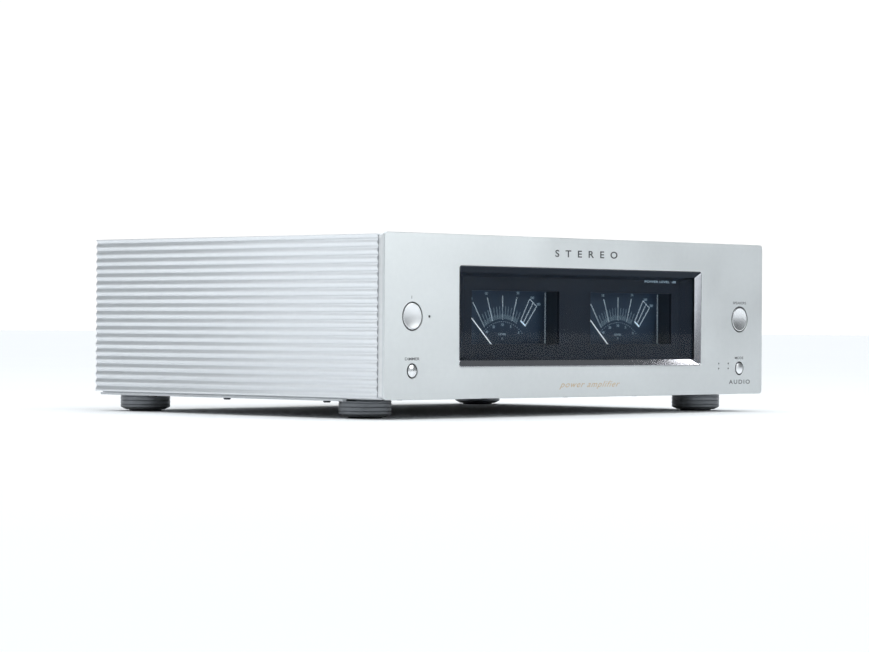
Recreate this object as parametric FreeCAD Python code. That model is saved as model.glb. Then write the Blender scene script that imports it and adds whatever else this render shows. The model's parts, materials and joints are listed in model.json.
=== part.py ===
"""Stereo power amplifier with two needle meters behind a long window.

Millimetres, +Z up, +X to the right of someone facing the front, +Y to the rear.
Every piece is drawn with the front face of the panel at y = 0 and x = 0 on the
middle of the panel, then moved so that the origin is under the middle of the
whole amplifier, on the surface that it stands on.
"""
import FreeCAD
import Part
import math
import os

os.makedirs("parts", exist_ok=True)
Vec = FreeCAD.Vector

# ---- casing ----
panel_width = 435.0
panel_height = 120.2
panel_corner = 3.2
panel_thick = 2.2
body_depth = 317.4
underside_z = 14.2        # lowest edge of the front panel above the floor

shadow_gap = 0.8          # dark groove between the panel and the frame behind it
frame_thick = 4.0
frame_inset = 1.0
groove_depth = 3.0
frame_foot_depth = 41.0
frame_foot_thick = 3.0
frame_foot_inset = 22.0
panel_gap = 0.4           # between the front frame and the side panels

side_thick = 5.0
side_top_drop = 1.3       # side panels end this far below the panel's top edge
side_lift = 1.1           # and start this far above its bottom edge
rib_count = 20
rib_height = 1.1          # crest to groove
side_lip = 1.2            # plain strip under the lowest rib
ledge_width = 13.0
ledge_thick = 5.6

cover_thick = 1.9
tray_thick = 1.2
tray_inset = 0.2
tray_flange = 12.0
under_plate_thick = 1.7
under_plate_inset = 3.0
under_plate_front = 45.0
rear_thick = 1.6
rear_recess = 1.0

slot_width = 3.4
slot_pitch = 8.0
slot_margin = 6.0

fit_gap = 0.1             # loose fit between pieces that are fastened together
shaft_gap = 0.05          # radial clearance of a turning shaft
glide_gap = 0.3           # clearance round a push button

# ---- window and meters ----
window_side_margin = 77.8        # panel left at each end of the window
window_low_margin = 23.15
window_high_margin = 22.75
window_corner = 2.2
bevel_width = 4.9
bevel_depth = 3.1
bevel_lip = 0.5
bezel_wall = 1.9
bezel_flange = 4.3
bezel_flange_thick = 1.5
glass_thick = 2.0
fascia_depth = 10.8
fascia_thick = 2.0
fascia_side_slope = 10.8
fascia_edge_slope = 2.7

meter_side_margin = 8.8          # flat face left outside each meter opening
meter_middle_margin = 18.0       # and between the middle and each opening
meter_low_margin = 16.7
meter_high_margin = 17.7
dial_depth = 24.6
dial_thick = 1.0
meter_wall = 2.0
meter_back_depth = 46.0
pivot_drop = 13.65               # needle pivot below the opening
needle_top_gap = 4.05
needle_over_half = 0.9           # needle length beyond half the meter's width
needle_depth = 22.0
needle_rest_angle = -48.0
needle_thick = 0.4
needle_root = 1.1
needle_tip = 0.4
arbor_radius = 0.6
core_radius = 7.5
magnet_inner = 10.5
magnet_outer = 14.0
magnet_length = 10.0
magnet_depth = 29.0
web_width = 3.0
coil_gap = 0.7
coil_thick = 1.0
coil_width = 4.0

# ---- buttons and lamps ----
button_margin = 29.0             # button middle to the end of the panel
small_button_lift = 20.7
large_button_drop = 0.3          # below the middle of the window
large_cap_radius = 9.5
small_cap_radius = 4.5
ring_width = 0.6
large_travel = 1.5
small_travel = 1.0
cap_dish = 0.7
cap_skirt = 6.4
retainer_lip = 1.2
retainer_thick = 1.2
stem_radius = 2.0
board_depth = 20.0
board_thick = 1.6
switch_size = 6.0
switch_height = 4.0
lens_radius = 0.9
small_lens_radius = 0.6
lamp_size = (3.5, 3.0, 2.8)
lamp_count = 8
power_lens_offset = 17.5         # from the power button towards the middle
mode_lens_offsets = (26.4, 14.3)
mode_lens_lifts = (3.9, -0.1)
switch_board_margins = (14.0, 23.5, 32.4)
switch_board_drop = 9.0
switch_board_rise = 19.0

# ---- feet ----
foot_side_margin = 27.6
front_foot_depth = 46.5
rear_foot_margin = 27.6
foot_radius = 19.3
foot_boss_radius = 13.2
foot_top_z = 12.9
foot_pad_height = 1.1
foot_pad_radius = 12.5
foot_pad_seat = 1.0
foot_chamfer = 4.3
foot_chamfer_height = 2.1
foot_groove_heights = (5.2, 8.3, 11.3)
foot_groove_size = 0.35

# ---- screws ----
screw_radius = 1.5
screw_head_radius = 2.75
screw_head_height = 1.6
screw_hex_radius = 1.1
screw_length = 6.0
wall_screw_length = 4.0
screw_boss_radius = 3.6
foot_screw_radius = 2.0
foot_screw_head_radius = 3.6
foot_screw_head_height = 2.4
front_screw_foot_gap = 29.9      # outermost front screw to the middle of the foot
front_screw_inner = (-69.0, 23.0, 106.0)
plate_screw_inset = 8.5
plate_screw_front = 72.0
plate_screw_margins = (137.4, 53.4)
rear_screw_inset = 22.3
rear_screw_inner = 70.0
front_screw_depth = 41.0

# ---- inside ----
toroid_front = 54.0
toroid_inner = 22.0
toroid_drop = 46.2               # lower than the panel by this much
toroid_round = 14.0
toroid_lift = 2.0
part_clearance = 4.0             # between the transformer and the power supply
clamp_overlap = 16.0             # clamp disc reaches this far over the winding
clamp_thick = 3.0
clamp_bolt_radius = 4.0
sink_front = 62.0
sink_rear_margin = 29.4
sink_drop = 16.2
sink_lift = 5.0
sink_foot_inset = 12.0
sink_foot_half = 5.0
sink_foot_reach = 8.0
sink_base = 6.0
sink_fin_length = 36.0
sink_fin_thick = 2.0
sink_fin_pitch = 8.0
sink_side_gap = 6.0
transistor_size = (5.0, 15.6, 20.0)
transistors_per_side = 4
amp_board_gap = 9.0
amp_board_short = (26.0, 20.0)   # board shorter and lower than its heat sink
amp_board_lift = 8.0
amp_can = (6.0, 14.0, 0.72)      # radius, height, share of the board's height
amp_coil = (8.0, 12.0, 0.3)
can_gap = 4.0
can_drop = 42.2
can_count = 4
supply_board_inset = 49.5
supply_board_depth = 60.0
supply_rear_margin = 63.4
supply_end_margin = 7.0
post_inset = 6.0                 # board post to the edge of its board
standoff_height = 7.0
standoff_radius = 3.0

# ---- rear connections ----
connector_drop = 36.4
post_lift = 31.8
post_places = (132.0, 97.0, 42.0, 7.0)
post_stud_radius = 3.6
post_base_radius = 9.0
post_base_height = 4.0
post_ring_radius = 7.2
post_ring_thick = 1.5
post_cap_radius = 8.6
post_cap_length = 12.6
post_cap_flutes = 12
post_flute_radius = 1.3
post_cap_web = 3.0
post_part_gap = 0.1
banana_radius = 2.0
banana_depth = 18.0
inlet_inset = 52.3
inlet_lift = 33.8
inlet_flange = (50.0, 27.5, 3.0)
inlet_body = (27.5, 20.5, 26.0)
inlet_cavity = (24.8, 16.6, 17.0)
inlet_pin = (2.0, 14.0, 4.0)
inlet_pin_spacing = 7.0
inlet_pin_offset = 4.0
line_socket_places = (28.0, 6.0)
line_socket_radius = 4.15
line_socket_reach = 9.5
line_socket_base = 6.2
line_socket_hole = 1.6
balanced_socket_places = (128.0, 92.0)
balanced_flange = (26.0, 31.0, 2.0)
balanced_body_radius = 11.0
balanced_mouth_radius = 9.6
balanced_insert_radius = 7.6
trigger_socket_places = (-30.0, -48.0)
trigger_collar_radius = 3.9
trigger_bore_radius = 1.8
selector_x = 60.0
selector_plate = (20.0, 9.0, 1.0)
selector_slot = (8.4, 4.4)
selector_knob = (4.6, 3.6, 3.2)
selector_travel = 3.0
selector_wall_x = 2.0
selector_wall_z = 1.0

# ---- places worked out from the sizes above ----
panel_top_z = underside_z + panel_height
half_width = panel_width / 2
frame_front = panel_thick + shadow_gap
frame_back = frame_front + frame_thick
side_front = frame_back + panel_gap
side_top_z = panel_top_z - side_top_drop
side_bottom_z = underside_z + side_lift
side_inner_x = half_width - side_thick
rib_pitch = (side_top_z - side_bottom_z - side_lip) / rib_count
cover_z = side_top_z - cover_thick
tray_z = underside_z + fit_gap
tray_top_z = tray_z + tray_thick
tray_half = side_inner_x - tray_inset
rear_outer = body_depth - rear_recess
rear_inner = rear_outer - rear_thick
under_plate_z = tray_z - under_plate_thick
button_x = half_width - button_margin
post_cap_start = rear_outer + post_base_height + post_ring_thick + 2 * post_part_gap
rear_reach = post_cap_start + post_cap_length
front_reach = cap_dish
middle_y = (rear_reach - front_reach) / 2
window_half = half_width - window_side_margin
window_low_z = underside_z + window_low_margin
window_high_z = panel_top_z - window_high_margin
window_middle_z = (window_low_z + window_high_z) / 2
face_half = window_half - bevel_width - fascia_side_slope
meter_width = face_half - meter_side_margin - meter_middle_margin
meter_x = (face_half - meter_side_margin + meter_middle_margin) / 2
meter_low_z = window_low_z + meter_low_margin
meter_high_z = window_high_z - meter_high_margin
pivot_z = meter_low_z - pivot_drop
needle_length = min(meter_width / 2 + needle_over_half, meter_high_z - needle_top_gap - pivot_z)
large_button_z = window_middle_z - large_button_drop
small_button_z = underside_z + small_button_lift
power_lens_x = power_lens_offset - button_x
mode_lens_columns = [button_x - offset for offset in mode_lens_offsets]
mode_lens_rows = [small_button_z + lift for lift in mode_lens_lifts]
foot_x = half_width - foot_side_margin
rear_foot_depth = body_depth - rear_foot_margin
front_screw_places = (front_screw_foot_gap - foot_x,) + front_screw_inner
sink_outer_x = side_inner_x - sink_side_gap
sink_inner_x = sink_outer_x - sink_fin_length - sink_base
sink_length = body_depth - sink_rear_margin - sink_front
sink_height = panel_height - sink_drop
supply_board_front = body_depth - supply_rear_margin - supply_board_depth
supply_half = sink_inner_x - supply_board_inset
toroid_outer = (supply_board_front - part_clearance - toroid_front) / 2
toroid_depth = toroid_front + toroid_outer
toroid_height = panel_height - toroid_drop
clamp_radius = toroid_inner + clamp_overlap
amp_board_depth = sink_length - amp_board_short[0]
amp_board_height = sink_height - amp_board_short[1]
transistor_pitch = amp_board_depth / transistors_per_side
can_pitch = 2 * (supply_half - supply_end_margin) / can_count
can_radius = (can_pitch - can_gap) / 2
can_height = panel_height - can_drop
connector_z = panel_top_z - connector_drop
post_z = underside_z + post_lift
inlet_x = inlet_inset - tray_half
inlet_z = underside_z + inlet_lift


def save(name, shapes):
    """Write one node; a list of shapes becomes a group of separate solids."""
    if isinstance(shapes, list):
        shape = Part.makeCompound(shapes)
    else:
        shape = shapes
    shape = shape.copy()
    shape.translate(Vec(0, -middle_y, 0))
    for solid in shape.Solids:
        if not solid.isValid():
            print("not valid:", name)
    shape.exportStep("parts/" + name + ".step")
    print(name, len(shape.Solids), round(shape.Volume))


def block(x_span, y_span, z_span):
    """Box between two x, two y and two z places."""
    size = Vec(x_span[1] - x_span[0], y_span[1] - y_span[0], z_span[1] - z_span[0])
    return Part.makeBox(size.x, size.y, size.z, Vec(x_span[0], y_span[0], z_span[0]))


def middle_block(middle, size):
    """Box given by its middle and its size."""
    low = [middle[i] - size[i] / 2 for i in range(3)]
    return Part.makeBox(size[0], size[1], size[2], Vec(*low))


def rod(radius, start, end, x, z):
    """Cylinder along y from one depth to another."""
    return Part.makeCylinder(radius, end - start, Vec(x, start, z), Vec(0, 1, 0))


def upright(radius, low, high, x, y):
    """Cylinder along z from one height to another."""
    return Part.makeCylinder(radius, high - low, Vec(x, y, low), Vec(0, 0, 1))


def join(shapes):
    """One solid from shapes that touch or overlap."""
    first = shapes[0]
    if len(shapes) > 1:
        first = first.fuse(shapes[1:])
    return first.removeSplitter()


def mirror_x(shape):
    """The same shape on the other side of the middle."""
    return shape.mirror(Vec(0, 0, 0), Vec(1, 0, 0))


def rounded_wire(x_span, z_span, radius, y):
    """Rectangle with round corners, in a plane facing along y."""
    low_x, high_x = x_span
    low_z, high_z = z_span
    lean = radius * (1 - math.sqrt(0.5))
    corners = (
        (high_x, low_z, -1, 1),
        (high_x, high_z, -1, -1),
        (low_x, high_z, 1, -1),
        (low_x, low_z, 1, 1),
    )
    arcs = []
    for index, (x, z, to_x, to_z) in enumerate(corners):
        on_side = Vec(x, y, z + to_z * radius)
        on_end = Vec(x + to_x * radius, y, z)
        middle = Vec(x + to_x * lean, y, z + to_z * lean)
        if index % 2 == 0:
            arcs.append((on_end, middle, on_side))
        else:
            arcs.append((on_side, middle, on_end))
    edges = []
    for index, (start, middle, end) in enumerate(arcs):
        edges.append(Part.Arc(start, middle, end).toShape())
        following = arcs[(index + 1) % len(arcs)][0]
        edges.append(Part.LineSegment(end, following).toShape())
    return Part.Wire(edges)


def rounded_plate(x_span, y_span, z_span, radius):
    """Plate with round corners in front view."""
    face = Part.Face(rounded_wire(x_span, z_span, radius, y_span[0]))
    return face.extrude(Vec(0, y_span[1] - y_span[0], 0))


def tapered_hole(front_x, front_z, front_radius, back_x, back_z, back_radius, start, end):
    """Hole that narrows from a front outline to a back outline."""
    front = rounded_wire(front_x, front_z, front_radius, start)
    back = rounded_wire(back_x, back_z, back_radius, end)
    return Part.makeLoft([front, back], True, True)


def long_slot(x_span, y_middle, z_span, width):
    """Slot with round ends, running along x, cut through from above."""
    radius = width / 2
    ends = (x_span[0] + radius, x_span[1] - radius)
    middle = block(ends, (y_middle - radius, y_middle + radius), z_span)
    left = upright(radius, z_span[0], z_span[1], ends[0], y_middle)
    right = upright(radius, z_span[0], z_span[1], ends[1], y_middle)
    return join([middle, left, right])


def grown(span, amount):
    """A span made longer at both ends."""
    return (span[0] - amount, span[1] + amount)


panel_x = (-half_width, half_width)
panel_z = (underside_z, panel_top_z)
window_x = (-window_half, window_half)
window_z = (window_low_z, window_high_z)
inner_x = grown(window_x, -bevel_width)
inner_z = grown(window_z, -bevel_width)
pocket_x = grown(window_x, -bezel_wall)
pocket_z = grown(window_z, -bezel_wall)
large_ring_radius = large_cap_radius + glide_gap + ring_width
small_ring_radius = small_cap_radius + glide_gap + ring_width

# name, x, z, cap radius, travel, crown (plus is domed, minus is dished)
buttons = (
    ("power_button", -button_x, large_button_z, large_cap_radius, large_travel, -cap_dish),
    ("dimmer_button", -button_x, small_button_z, small_cap_radius, small_travel, cap_dish),
    ("speaker_button", button_x, large_button_z, large_cap_radius, large_travel, -cap_dish),
    ("mode_button", button_x, small_button_z, small_cap_radius, small_travel, cap_dish),
)
lenses = [(power_lens_x, large_button_z, lens_radius)]
for lens_x in mode_lens_columns:
    for lens_z in mode_lens_rows:
        lenses.append((lens_x, lens_z, small_lens_radius))

# switch boards, one behind each pair of buttons: x span and z span
board_z = (small_button_z - switch_board_drop, large_button_z + switch_board_rise)
switch_boards = (
    (-button_x - switch_board_margins[0], -button_x + switch_board_margins[1]),
    (button_x - switch_board_margins[2], button_x + switch_board_margins[0]),
)


def board_corners(board_x):
    """Places of the four posts that hold a switch board."""
    edge = 4.0
    places = []
    for x in (board_x[0] + edge, board_x[1] - edge):
        for z in (board_z[0] + edge, board_z[1] - edge):
            places.append((x, z))
    return places


# ---------------------------------------------------------------- front
def make_front_panel():
    plate = rounded_plate(panel_x, (0, panel_thick), panel_z, panel_corner)
    cuts = [rounded_plate(grown(window_x, fit_gap), (-1, panel_thick + 1),
                          grown(window_z, fit_gap), window_corner + fit_gap)]
    for _, x, z, radius, _, _ in buttons:
        opening = radius + glide_gap + ring_width + fit_gap
        cuts.append(rod(opening, -1, panel_thick + 1, x, z))
    for x, z, radius in lenses:
        cuts.append(rod(radius + fit_gap, -1, panel_thick + 1, x, z))
    save("front_panel", plate.cut(cuts))


def make_front_frame():
    frame_x = grown(panel_x, -frame_inset)
    frame_z = grown(panel_z, -frame_inset)
    core = rounded_plate(grown(frame_x, -groove_depth), (panel_thick, frame_front),
                         grown(frame_z, -groove_depth), panel_corner)
    plate = rounded_plate(frame_x, (frame_front, frame_back), frame_z, panel_corner)
    ledge = grown((-button_x, button_x), -frame_foot_inset)
    ledge_z = (tray_top_z, tray_top_z + frame_foot_thick)
    foot = block(ledge, (frame_back - 1, frame_back + frame_foot_depth), ledge_z)
    shapes = [core, plate, foot]
    for board_x in switch_boards:
        for x, z in board_corners(board_x):
            shapes.append(rod(standoff_radius, frame_back - 1, board_depth, x, z))
    cuts = [rounded_plate(grown(window_x, fit_gap), (0, frame_back + 1),
                          grown(window_z, fit_gap), window_corner + fit_gap)]
    for _, x, z, radius, _, _ in buttons:
        opening = radius + glide_gap + ring_width + fit_gap
        cuts.append(rod(opening, 0, frame_back + 1, x, z))
    for x, z, radius in lenses:
        cuts.append(rod(radius + fit_gap, 0, frame_back + 1, x, z))
    for x in front_screw_places:
        cuts.append(upright(screw_radius + fit_gap, ledge_z[0] - 1, ledge_z[1] + 1, x, front_screw_depth))
    save("front_frame", join(shapes).cut(cuts))


def make_window():
    start = fit_gap * 2
    seat = start + bevel_depth
    rim = rounded_plate(window_x, (start, frame_back), window_z, window_corner)
    flange = rounded_plate(grown(window_x, bezel_flange), (frame_back, frame_back + bezel_flange_thick),
                           grown(window_z, bezel_flange), window_corner)
    bevel = tapered_hole(grown(window_x, -bevel_lip), grown(window_z, -bevel_lip),
                         window_corner - bevel_lip, inner_x, inner_z, bevel_lip, start, seat)
    pocket = rounded_plate(pocket_x, (seat, frame_back + bezel_flange_thick + 1), pocket_z, bevel_lip)
    save("window_bezel", join([rim, flange]).cut([bevel, pocket]))

    glass_back = seat + glass_thick
    save("window_glass", rounded_plate(grown(pocket_x, -fit_gap), (seat, glass_back),
                                       grown(pocket_z, -fit_gap), bevel_lip))

    body = rounded_plate(grown(pocket_x, -fit_gap), (glass_back, fascia_depth + fascia_thick),
                         grown(pocket_z, -fit_gap), bevel_lip)
    face_x = grown(inner_x, -fascia_side_slope)
    face_z = grown(inner_z, -fascia_edge_slope)
    slope = tapered_hole(inner_x, inner_z, bevel_lip, face_x, face_z, bevel_lip, glass_back, fascia_depth)
    cuts = [slope]
    for side in (-1, 1):
        low_x = side * meter_x - meter_width / 2
        through = grown((fascia_depth, fascia_depth), 2 * fascia_thick)
        cuts.append(block((low_x, low_x + meter_width), through, (meter_low_z, meter_high_z)))
    save("meter_fascia", body.cut(cuts))

    lamp_z = (meter_high_z + meter_wall + 1.5, pocket_z[1] - 1)
    lamp_y = fascia_depth + fascia_thick
    strip = block(grown(face_x, -4), (lamp_y, lamp_y + board_thick), lamp_z)
    lamps = [strip]
    lamp_pitch = (face_x[1] - face_x[0]) / lamp_count
    for index in range(lamp_count):
        x = face_x[0] + (index + 0.5) * lamp_pitch
        lamps.append(middle_block((x, lamp_y + board_thick, sum(lamp_z) / 2), lamp_size))
    save("meter_lamp_board", join(lamps))


def make_meter(side):
    name = "left" if side < 0 else "right"
    middle_x = side * meter_x
    opening_z = (meter_low_z, meter_high_z)
    front = fascia_depth + fascia_thick
    low_z = pivot_z - magnet_outer - meter_wall
    outer_x = (middle_x - meter_width / 2 - meter_wall, middle_x + meter_width / 2 + meter_wall)
    cavity_x = grown(outer_x, -meter_wall / 2)
    high_z = opening_z[1] + meter_wall
    shell = block(outer_x, (front, meter_back_depth), (low_z - meter_wall, high_z))
    cavity_z = (low_z, high_z - meter_wall / 2)
    cavity = block(cavity_x, (front + meter_wall, meter_back_depth - meter_wall), cavity_z)
    mouth = block(grown(outer_x, -meter_wall), (front - 1, front + meter_wall + 1), opening_z)
    case = shell.cut([cavity, mouth])

    dial_back = dial_depth + dial_thick
    ledges = []
    for x_span in ((cavity_x[0], cavity_x[0] + meter_wall), (cavity_x[1] - meter_wall, cavity_x[1])):
        ledges.append(block(x_span, (dial_back, meter_back_depth - 1), (opening_z[0], cavity_z[1])))
    magnet_back = magnet_depth + magnet_length
    boss_start = magnet_back + coil_gap + coil_thick + 1
    boss = rod(arbor_radius + 2, boss_start, meter_back_depth - 1, middle_x, pivot_z)
    pads = []
    for turn in (0, 180):
        angle = math.radians(turn)
        x = middle_x + math.cos(angle) * (magnet_inner + magnet_outer) / 2
        pads.append(rod(1.5, magnet_back, meter_back_depth - 1, x, pivot_z + math.sin(angle)))
    bearing = rod(arbor_radius + shaft_gap, front, meter_back_depth - meter_wall / 2, middle_x, pivot_z)
    save(name + "_meter_case", join([case, boss] + ledges + pads).cut(bearing))

    dial_x = grown(cavity_x, -fit_gap)
    save(name + "_meter_dial", block(dial_x, (dial_depth, dial_back),
                                     (opening_z[0] - meter_wall / 2, high_z - meter_wall / 2 - fit_gap)))

    ring = rod(magnet_outer, magnet_depth, magnet_back, middle_x, pivot_z)
    ring = ring.cut(rod(magnet_inner, magnet_depth - 1, magnet_back + 1, middle_x, pivot_z))
    core = rod(core_radius, magnet_depth, magnet_back, middle_x, pivot_z)
    web = middle_block((middle_x, magnet_depth + magnet_length / 2, pivot_z),
                       (web_width, magnet_length, 2 * magnet_inner + 1))
    bar_y = magnet_depth - coil_gap - coil_thick - 2.4
    bar = middle_block((middle_x, bar_y, pivot_z), (2 * magnet_outer - 2, 1.4, 4.0))
    shapes = [ring, core, web, bar]
    for turn in (-1, 1):
        shapes.append(rod(1.2, bar_y, magnet_depth + 1, middle_x + turn * (magnet_outer - 2), pivot_z))
    bore = rod(arbor_radius + shaft_gap, bar_y - 2, bar_y + 2, middle_x, pivot_z)
    save(name + "_meter_magnet", join(shapes).cut(bore))

    make_needle(name, middle_x, magnet_back)


def make_needle(name, middle_x, magnet_back):
    """Pointer, arbor and moving coil, drawn upright and then turned to zero."""
    half_thick = needle_thick / 2
    points = (
        (-needle_root / 2, -9.0),
        (needle_root / 2, -9.0),
        (needle_root / 2, 4.0),
        (needle_tip / 2, needle_length),
        (-needle_tip / 2, needle_length),
        (-needle_root / 2, 4.0),
    )
    corners = [Vec(middle_x + x, needle_depth - half_thick, pivot_z + z) for x, z in points]
    pointer = Part.Face(Part.makePolygon(corners + corners[:1])).extrude(Vec(0, needle_thick, 0))
    weight = rod(1.6, needle_depth - half_thick, needle_depth + half_thick, middle_x, pivot_z - 8.0)
    coil_front = magnet_depth - coil_gap - coil_thick
    coil_back = magnet_back + coil_gap + coil_thick
    hub = rod(2.4, needle_depth - 1, needle_depth + 1, middle_x, pivot_z)
    front_arbor = rod(arbor_radius, needle_depth, coil_front + coil_thick, middle_x, pivot_z)
    back_arbor = rod(arbor_radius, coil_back - coil_thick, meter_back_depth - meter_wall, middle_x, pivot_z)
    reach = core_radius + coil_gap + coil_thick
    coil_middle = (middle_x, (coil_front + coil_back) / 2, pivot_z)
    coil_length = coil_back - coil_front
    outer = middle_block(coil_middle, (2 * reach, coil_length, coil_width))
    inner = middle_block(coil_middle, (2 * (reach - coil_thick), coil_length - 2 * coil_thick, coil_width + 2))
    movement = join([pointer, weight, hub, front_arbor, back_arbor, outer.cut(inner)])
    movement.rotate(Vec(middle_x, 0, pivot_z), Vec(0, 1, 0), needle_rest_angle)
    save(name + "_meter_needle", movement)


# ---------------------------------------------------------------- buttons
def make_buttons():
    rings = []
    for name, x, z, radius, travel, crown in buttons:
        sphere_radius = (radius * radius + crown * crown) / (2 * abs(crown))
        cap = rod(radius, 0, cap_skirt, x, z)
        if crown < 0:
            ball = Part.makeSphere(sphere_radius, Vec(x, -(sphere_radius + crown), z))
            cap = cap.cut(ball)
        else:
            ball = Part.makeSphere(sphere_radius, Vec(x, sphere_radius - crown, z))
            cap = cap.fuse(ball.common(rod(radius, -crown - 1, 1, x, z)))
        flange_y = frame_back + shaft_gap
        neck = rod(radius, cap_skirt - 1, flange_y + 0.5, x, z)
        lip = radius + glide_gap + ring_width + retainer_lip
        flange = rod(lip, flange_y, flange_y + retainer_thick, x, z)
        stem_end = board_depth - switch_height - travel - fit_gap
        stem = rod(stem_radius, flange_y, stem_end, x, z)
        save(name, join([cap, neck, flange, stem]))
        outer = radius + glide_gap + ring_width
        sleeve = rod(outer, 0.4, frame_back, x, z)
        rings.append(sleeve.cut(rod(radius + glide_gap, 0, frame_back + 1, x, z)))
    save("button_rings", rings)

    boards = []
    for board_x in switch_boards:
        board = block(board_x, (board_depth, board_depth + board_thick), board_z)
        pieces = [board]
        for _, x, z, _, _, _ in buttons:
            if board_x[0] < x < board_x[1]:
                middle = (x, board_depth - switch_height / 2 + 0.5, z)
                pieces.append(middle_block(middle, (switch_size, switch_height - 1, switch_size)))
                pieces.append(rod(switch_size / 4, board_depth - switch_height, board_depth, x, z))
        boards.append(join(pieces))
    save("front_switch_boards", boards)
    save("indicator_lenses", [rod(radius, 0, board_depth, x, z) for x, z, radius in lenses])


# ---------------------------------------------------------------- casing
cover_screws = [(side * (side_inner_x - ledge_width / 2), y)
                for side in (-1, 1) for y in (side_front + 22, body_depth / 2, body_depth - 24)]
wall_screws = [(side_front + 40, tray_top_z + tray_flange / 2),
               (body_depth / 2, tray_top_z + tray_flange / 2),
               (body_depth - 40, tray_top_z + tray_flange / 2)]
wall_screw_x = tray_half - tray_thick
plate_screw_depths = [plate_screw_front] + [body_depth - margin for margin in plate_screw_margins]
plate_screws = [(side * (tray_half - plate_screw_inset), y) for side in (-1, 1) for y in plate_screw_depths]
rear_ledge_screws = [(side * (side_inner_x - ledge_width / 2), side_top_z - cover_thick - ledge_thick / 2)
                     for side in (-1, 1)]
rear_screw_x = tray_half - rear_screw_inset
rear_tray_screws = [(x, tray_top_z + tray_flange / 2)
                    for x in (-rear_screw_x, -rear_screw_inner, rear_screw_inner, rear_screw_x)]
foot_places = {
    "front_left_foot": (-foot_x, front_foot_depth),
    "front_right_foot": (foot_x, front_foot_depth),
    "rear_left_foot": (-foot_x, rear_foot_depth),
    "rear_right_foot": (foot_x, rear_foot_depth),
}


def side_profile():
    """Cross-section of the left side panel: rows of round ribs and grooves outside."""
    swing = rib_height / 2
    quarter = rib_pitch / 4
    round_radius = (quarter * quarter + swing * swing) / (2 * swing)
    half_turn = math.asin(quarter / round_radius) / 2
    drop = round_radius * math.sin(half_turn)
    lean = round_radius * (1 - math.cos(half_turn))
    edges = []
    level = side_top_z
    for _ in range(rib_count):
        top = Vec(-half_width, side_front, level)
        upper = Vec(swing - half_width, side_front, level - quarter)
        groove = Vec(rib_height - half_width, side_front, level - 2 * quarter)
        lower = Vec(swing - half_width, side_front, level - 3 * quarter)
        bottom = Vec(-half_width, side_front, level - rib_pitch)
        upper_middle = Vec(lean - half_width, side_front, level - drop)
        lower_middle = Vec(lean - half_width, side_front, level - rib_pitch + drop)
        edges.append(Part.Arc(top, upper_middle, upper).toShape())
        edges.append(Part.Arc(upper, groove, lower).toShape())
        edges.append(Part.Arc(lower, lower_middle, bottom).toShape())
        level -= rib_pitch
    ledge_low = cover_z - ledge_thick
    ledge_x = ledge_width - side_inner_x
    corners = (
        (-half_width, level),
        (-half_width, side_bottom_z),
        (-side_inner_x, side_bottom_z),
        (-side_inner_x, ledge_low),
        (ledge_x, ledge_low),
        (ledge_x, cover_z),
        (-side_inner_x, cover_z),
        (-side_inner_x, side_top_z),
        (-half_width, side_top_z),
    )
    for (from_x, from_z), (to_x, to_z) in zip(corners, corners[1:]):
        start = Vec(from_x, side_front, from_z)
        end = Vec(to_x, side_front, to_z)
        edges.append(Part.LineSegment(start, end).toShape())
    return Part.Face(Part.Wire(edges))


def make_sides():
    panel = side_profile().extrude(Vec(0, body_depth - side_front, 0))
    cuts = [block((-side_inner_x, 0), (rear_inner, body_depth + 1), (underside_z, cover_z))]
    for x, y in cover_screws:
        if x < 0:
            cuts.append(upright(screw_radius + fit_gap, cover_z - ledge_thick - 1, cover_z + 1, x, y))
    for y, z in wall_screws:
        start = Vec(-(wall_screw_x + wall_screw_length + fit_gap), y, z)
        cuts.append(Part.makeCylinder(screw_radius + fit_gap, wall_screw_length + 2, start, Vec(1, 0, 0)))
    for x, z in rear_ledge_screws:
        if x < 0:
            cuts.append(rod(screw_radius + fit_gap, rear_outer - screw_length - 1, body_depth + 1, x, z))
    panel = panel.cut(cuts)
    save("left_side_panel", panel)
    save("right_side_panel", mirror_x(panel))


def sink_slots(z_span):
    """Rows of slots over both heat sinks."""
    slots = []
    count = int((sink_length - 2 * slot_margin) / slot_pitch)
    first = sink_front + (sink_length - (count - 1) * slot_pitch) / 2
    for index in range(count):
        y = first + index * slot_pitch
        for side in (-1, 1):
            ends = sorted((side * (sink_outer_x - slot_margin), side * (sink_inner_x + slot_margin)))
            slots.append(long_slot(ends, y, z_span, slot_width))
    return slots


def make_cover():
    half = side_inner_x - fit_gap
    y_span = (side_front, body_depth)
    cover = block((-half, half), y_span, (cover_z, side_top_z))
    z_span = (cover_z - 1, side_top_z + 1)
    cuts = sink_slots(z_span)
    column = (toroid_outer - slot_margin) / 2
    for row in range(round(2 * toroid_outer / slot_pitch)):
        y = toroid_depth - toroid_outer + (row + 0.5) * slot_pitch
        for side in (-1, 1):
            ends = sorted((side * slot_margin, side * (slot_margin + 2 * column)))
            cuts.append(long_slot(ends, y, z_span, slot_width))
    for x, y in cover_screws:
        cuts.append(upright(screw_radius + fit_gap, cover_z - 1, side_top_z + 1, x, y))
        sink = Part.makeCone(screw_radius + fit_gap, screw_head_radius + fit_gap,
                             cover_thick - 0.3, Vec(x, y, cover_z + 0.3), Vec(0, 0, 1))
        cuts.append(sink)
    save("top_cover", cover.cut(cuts))


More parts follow.
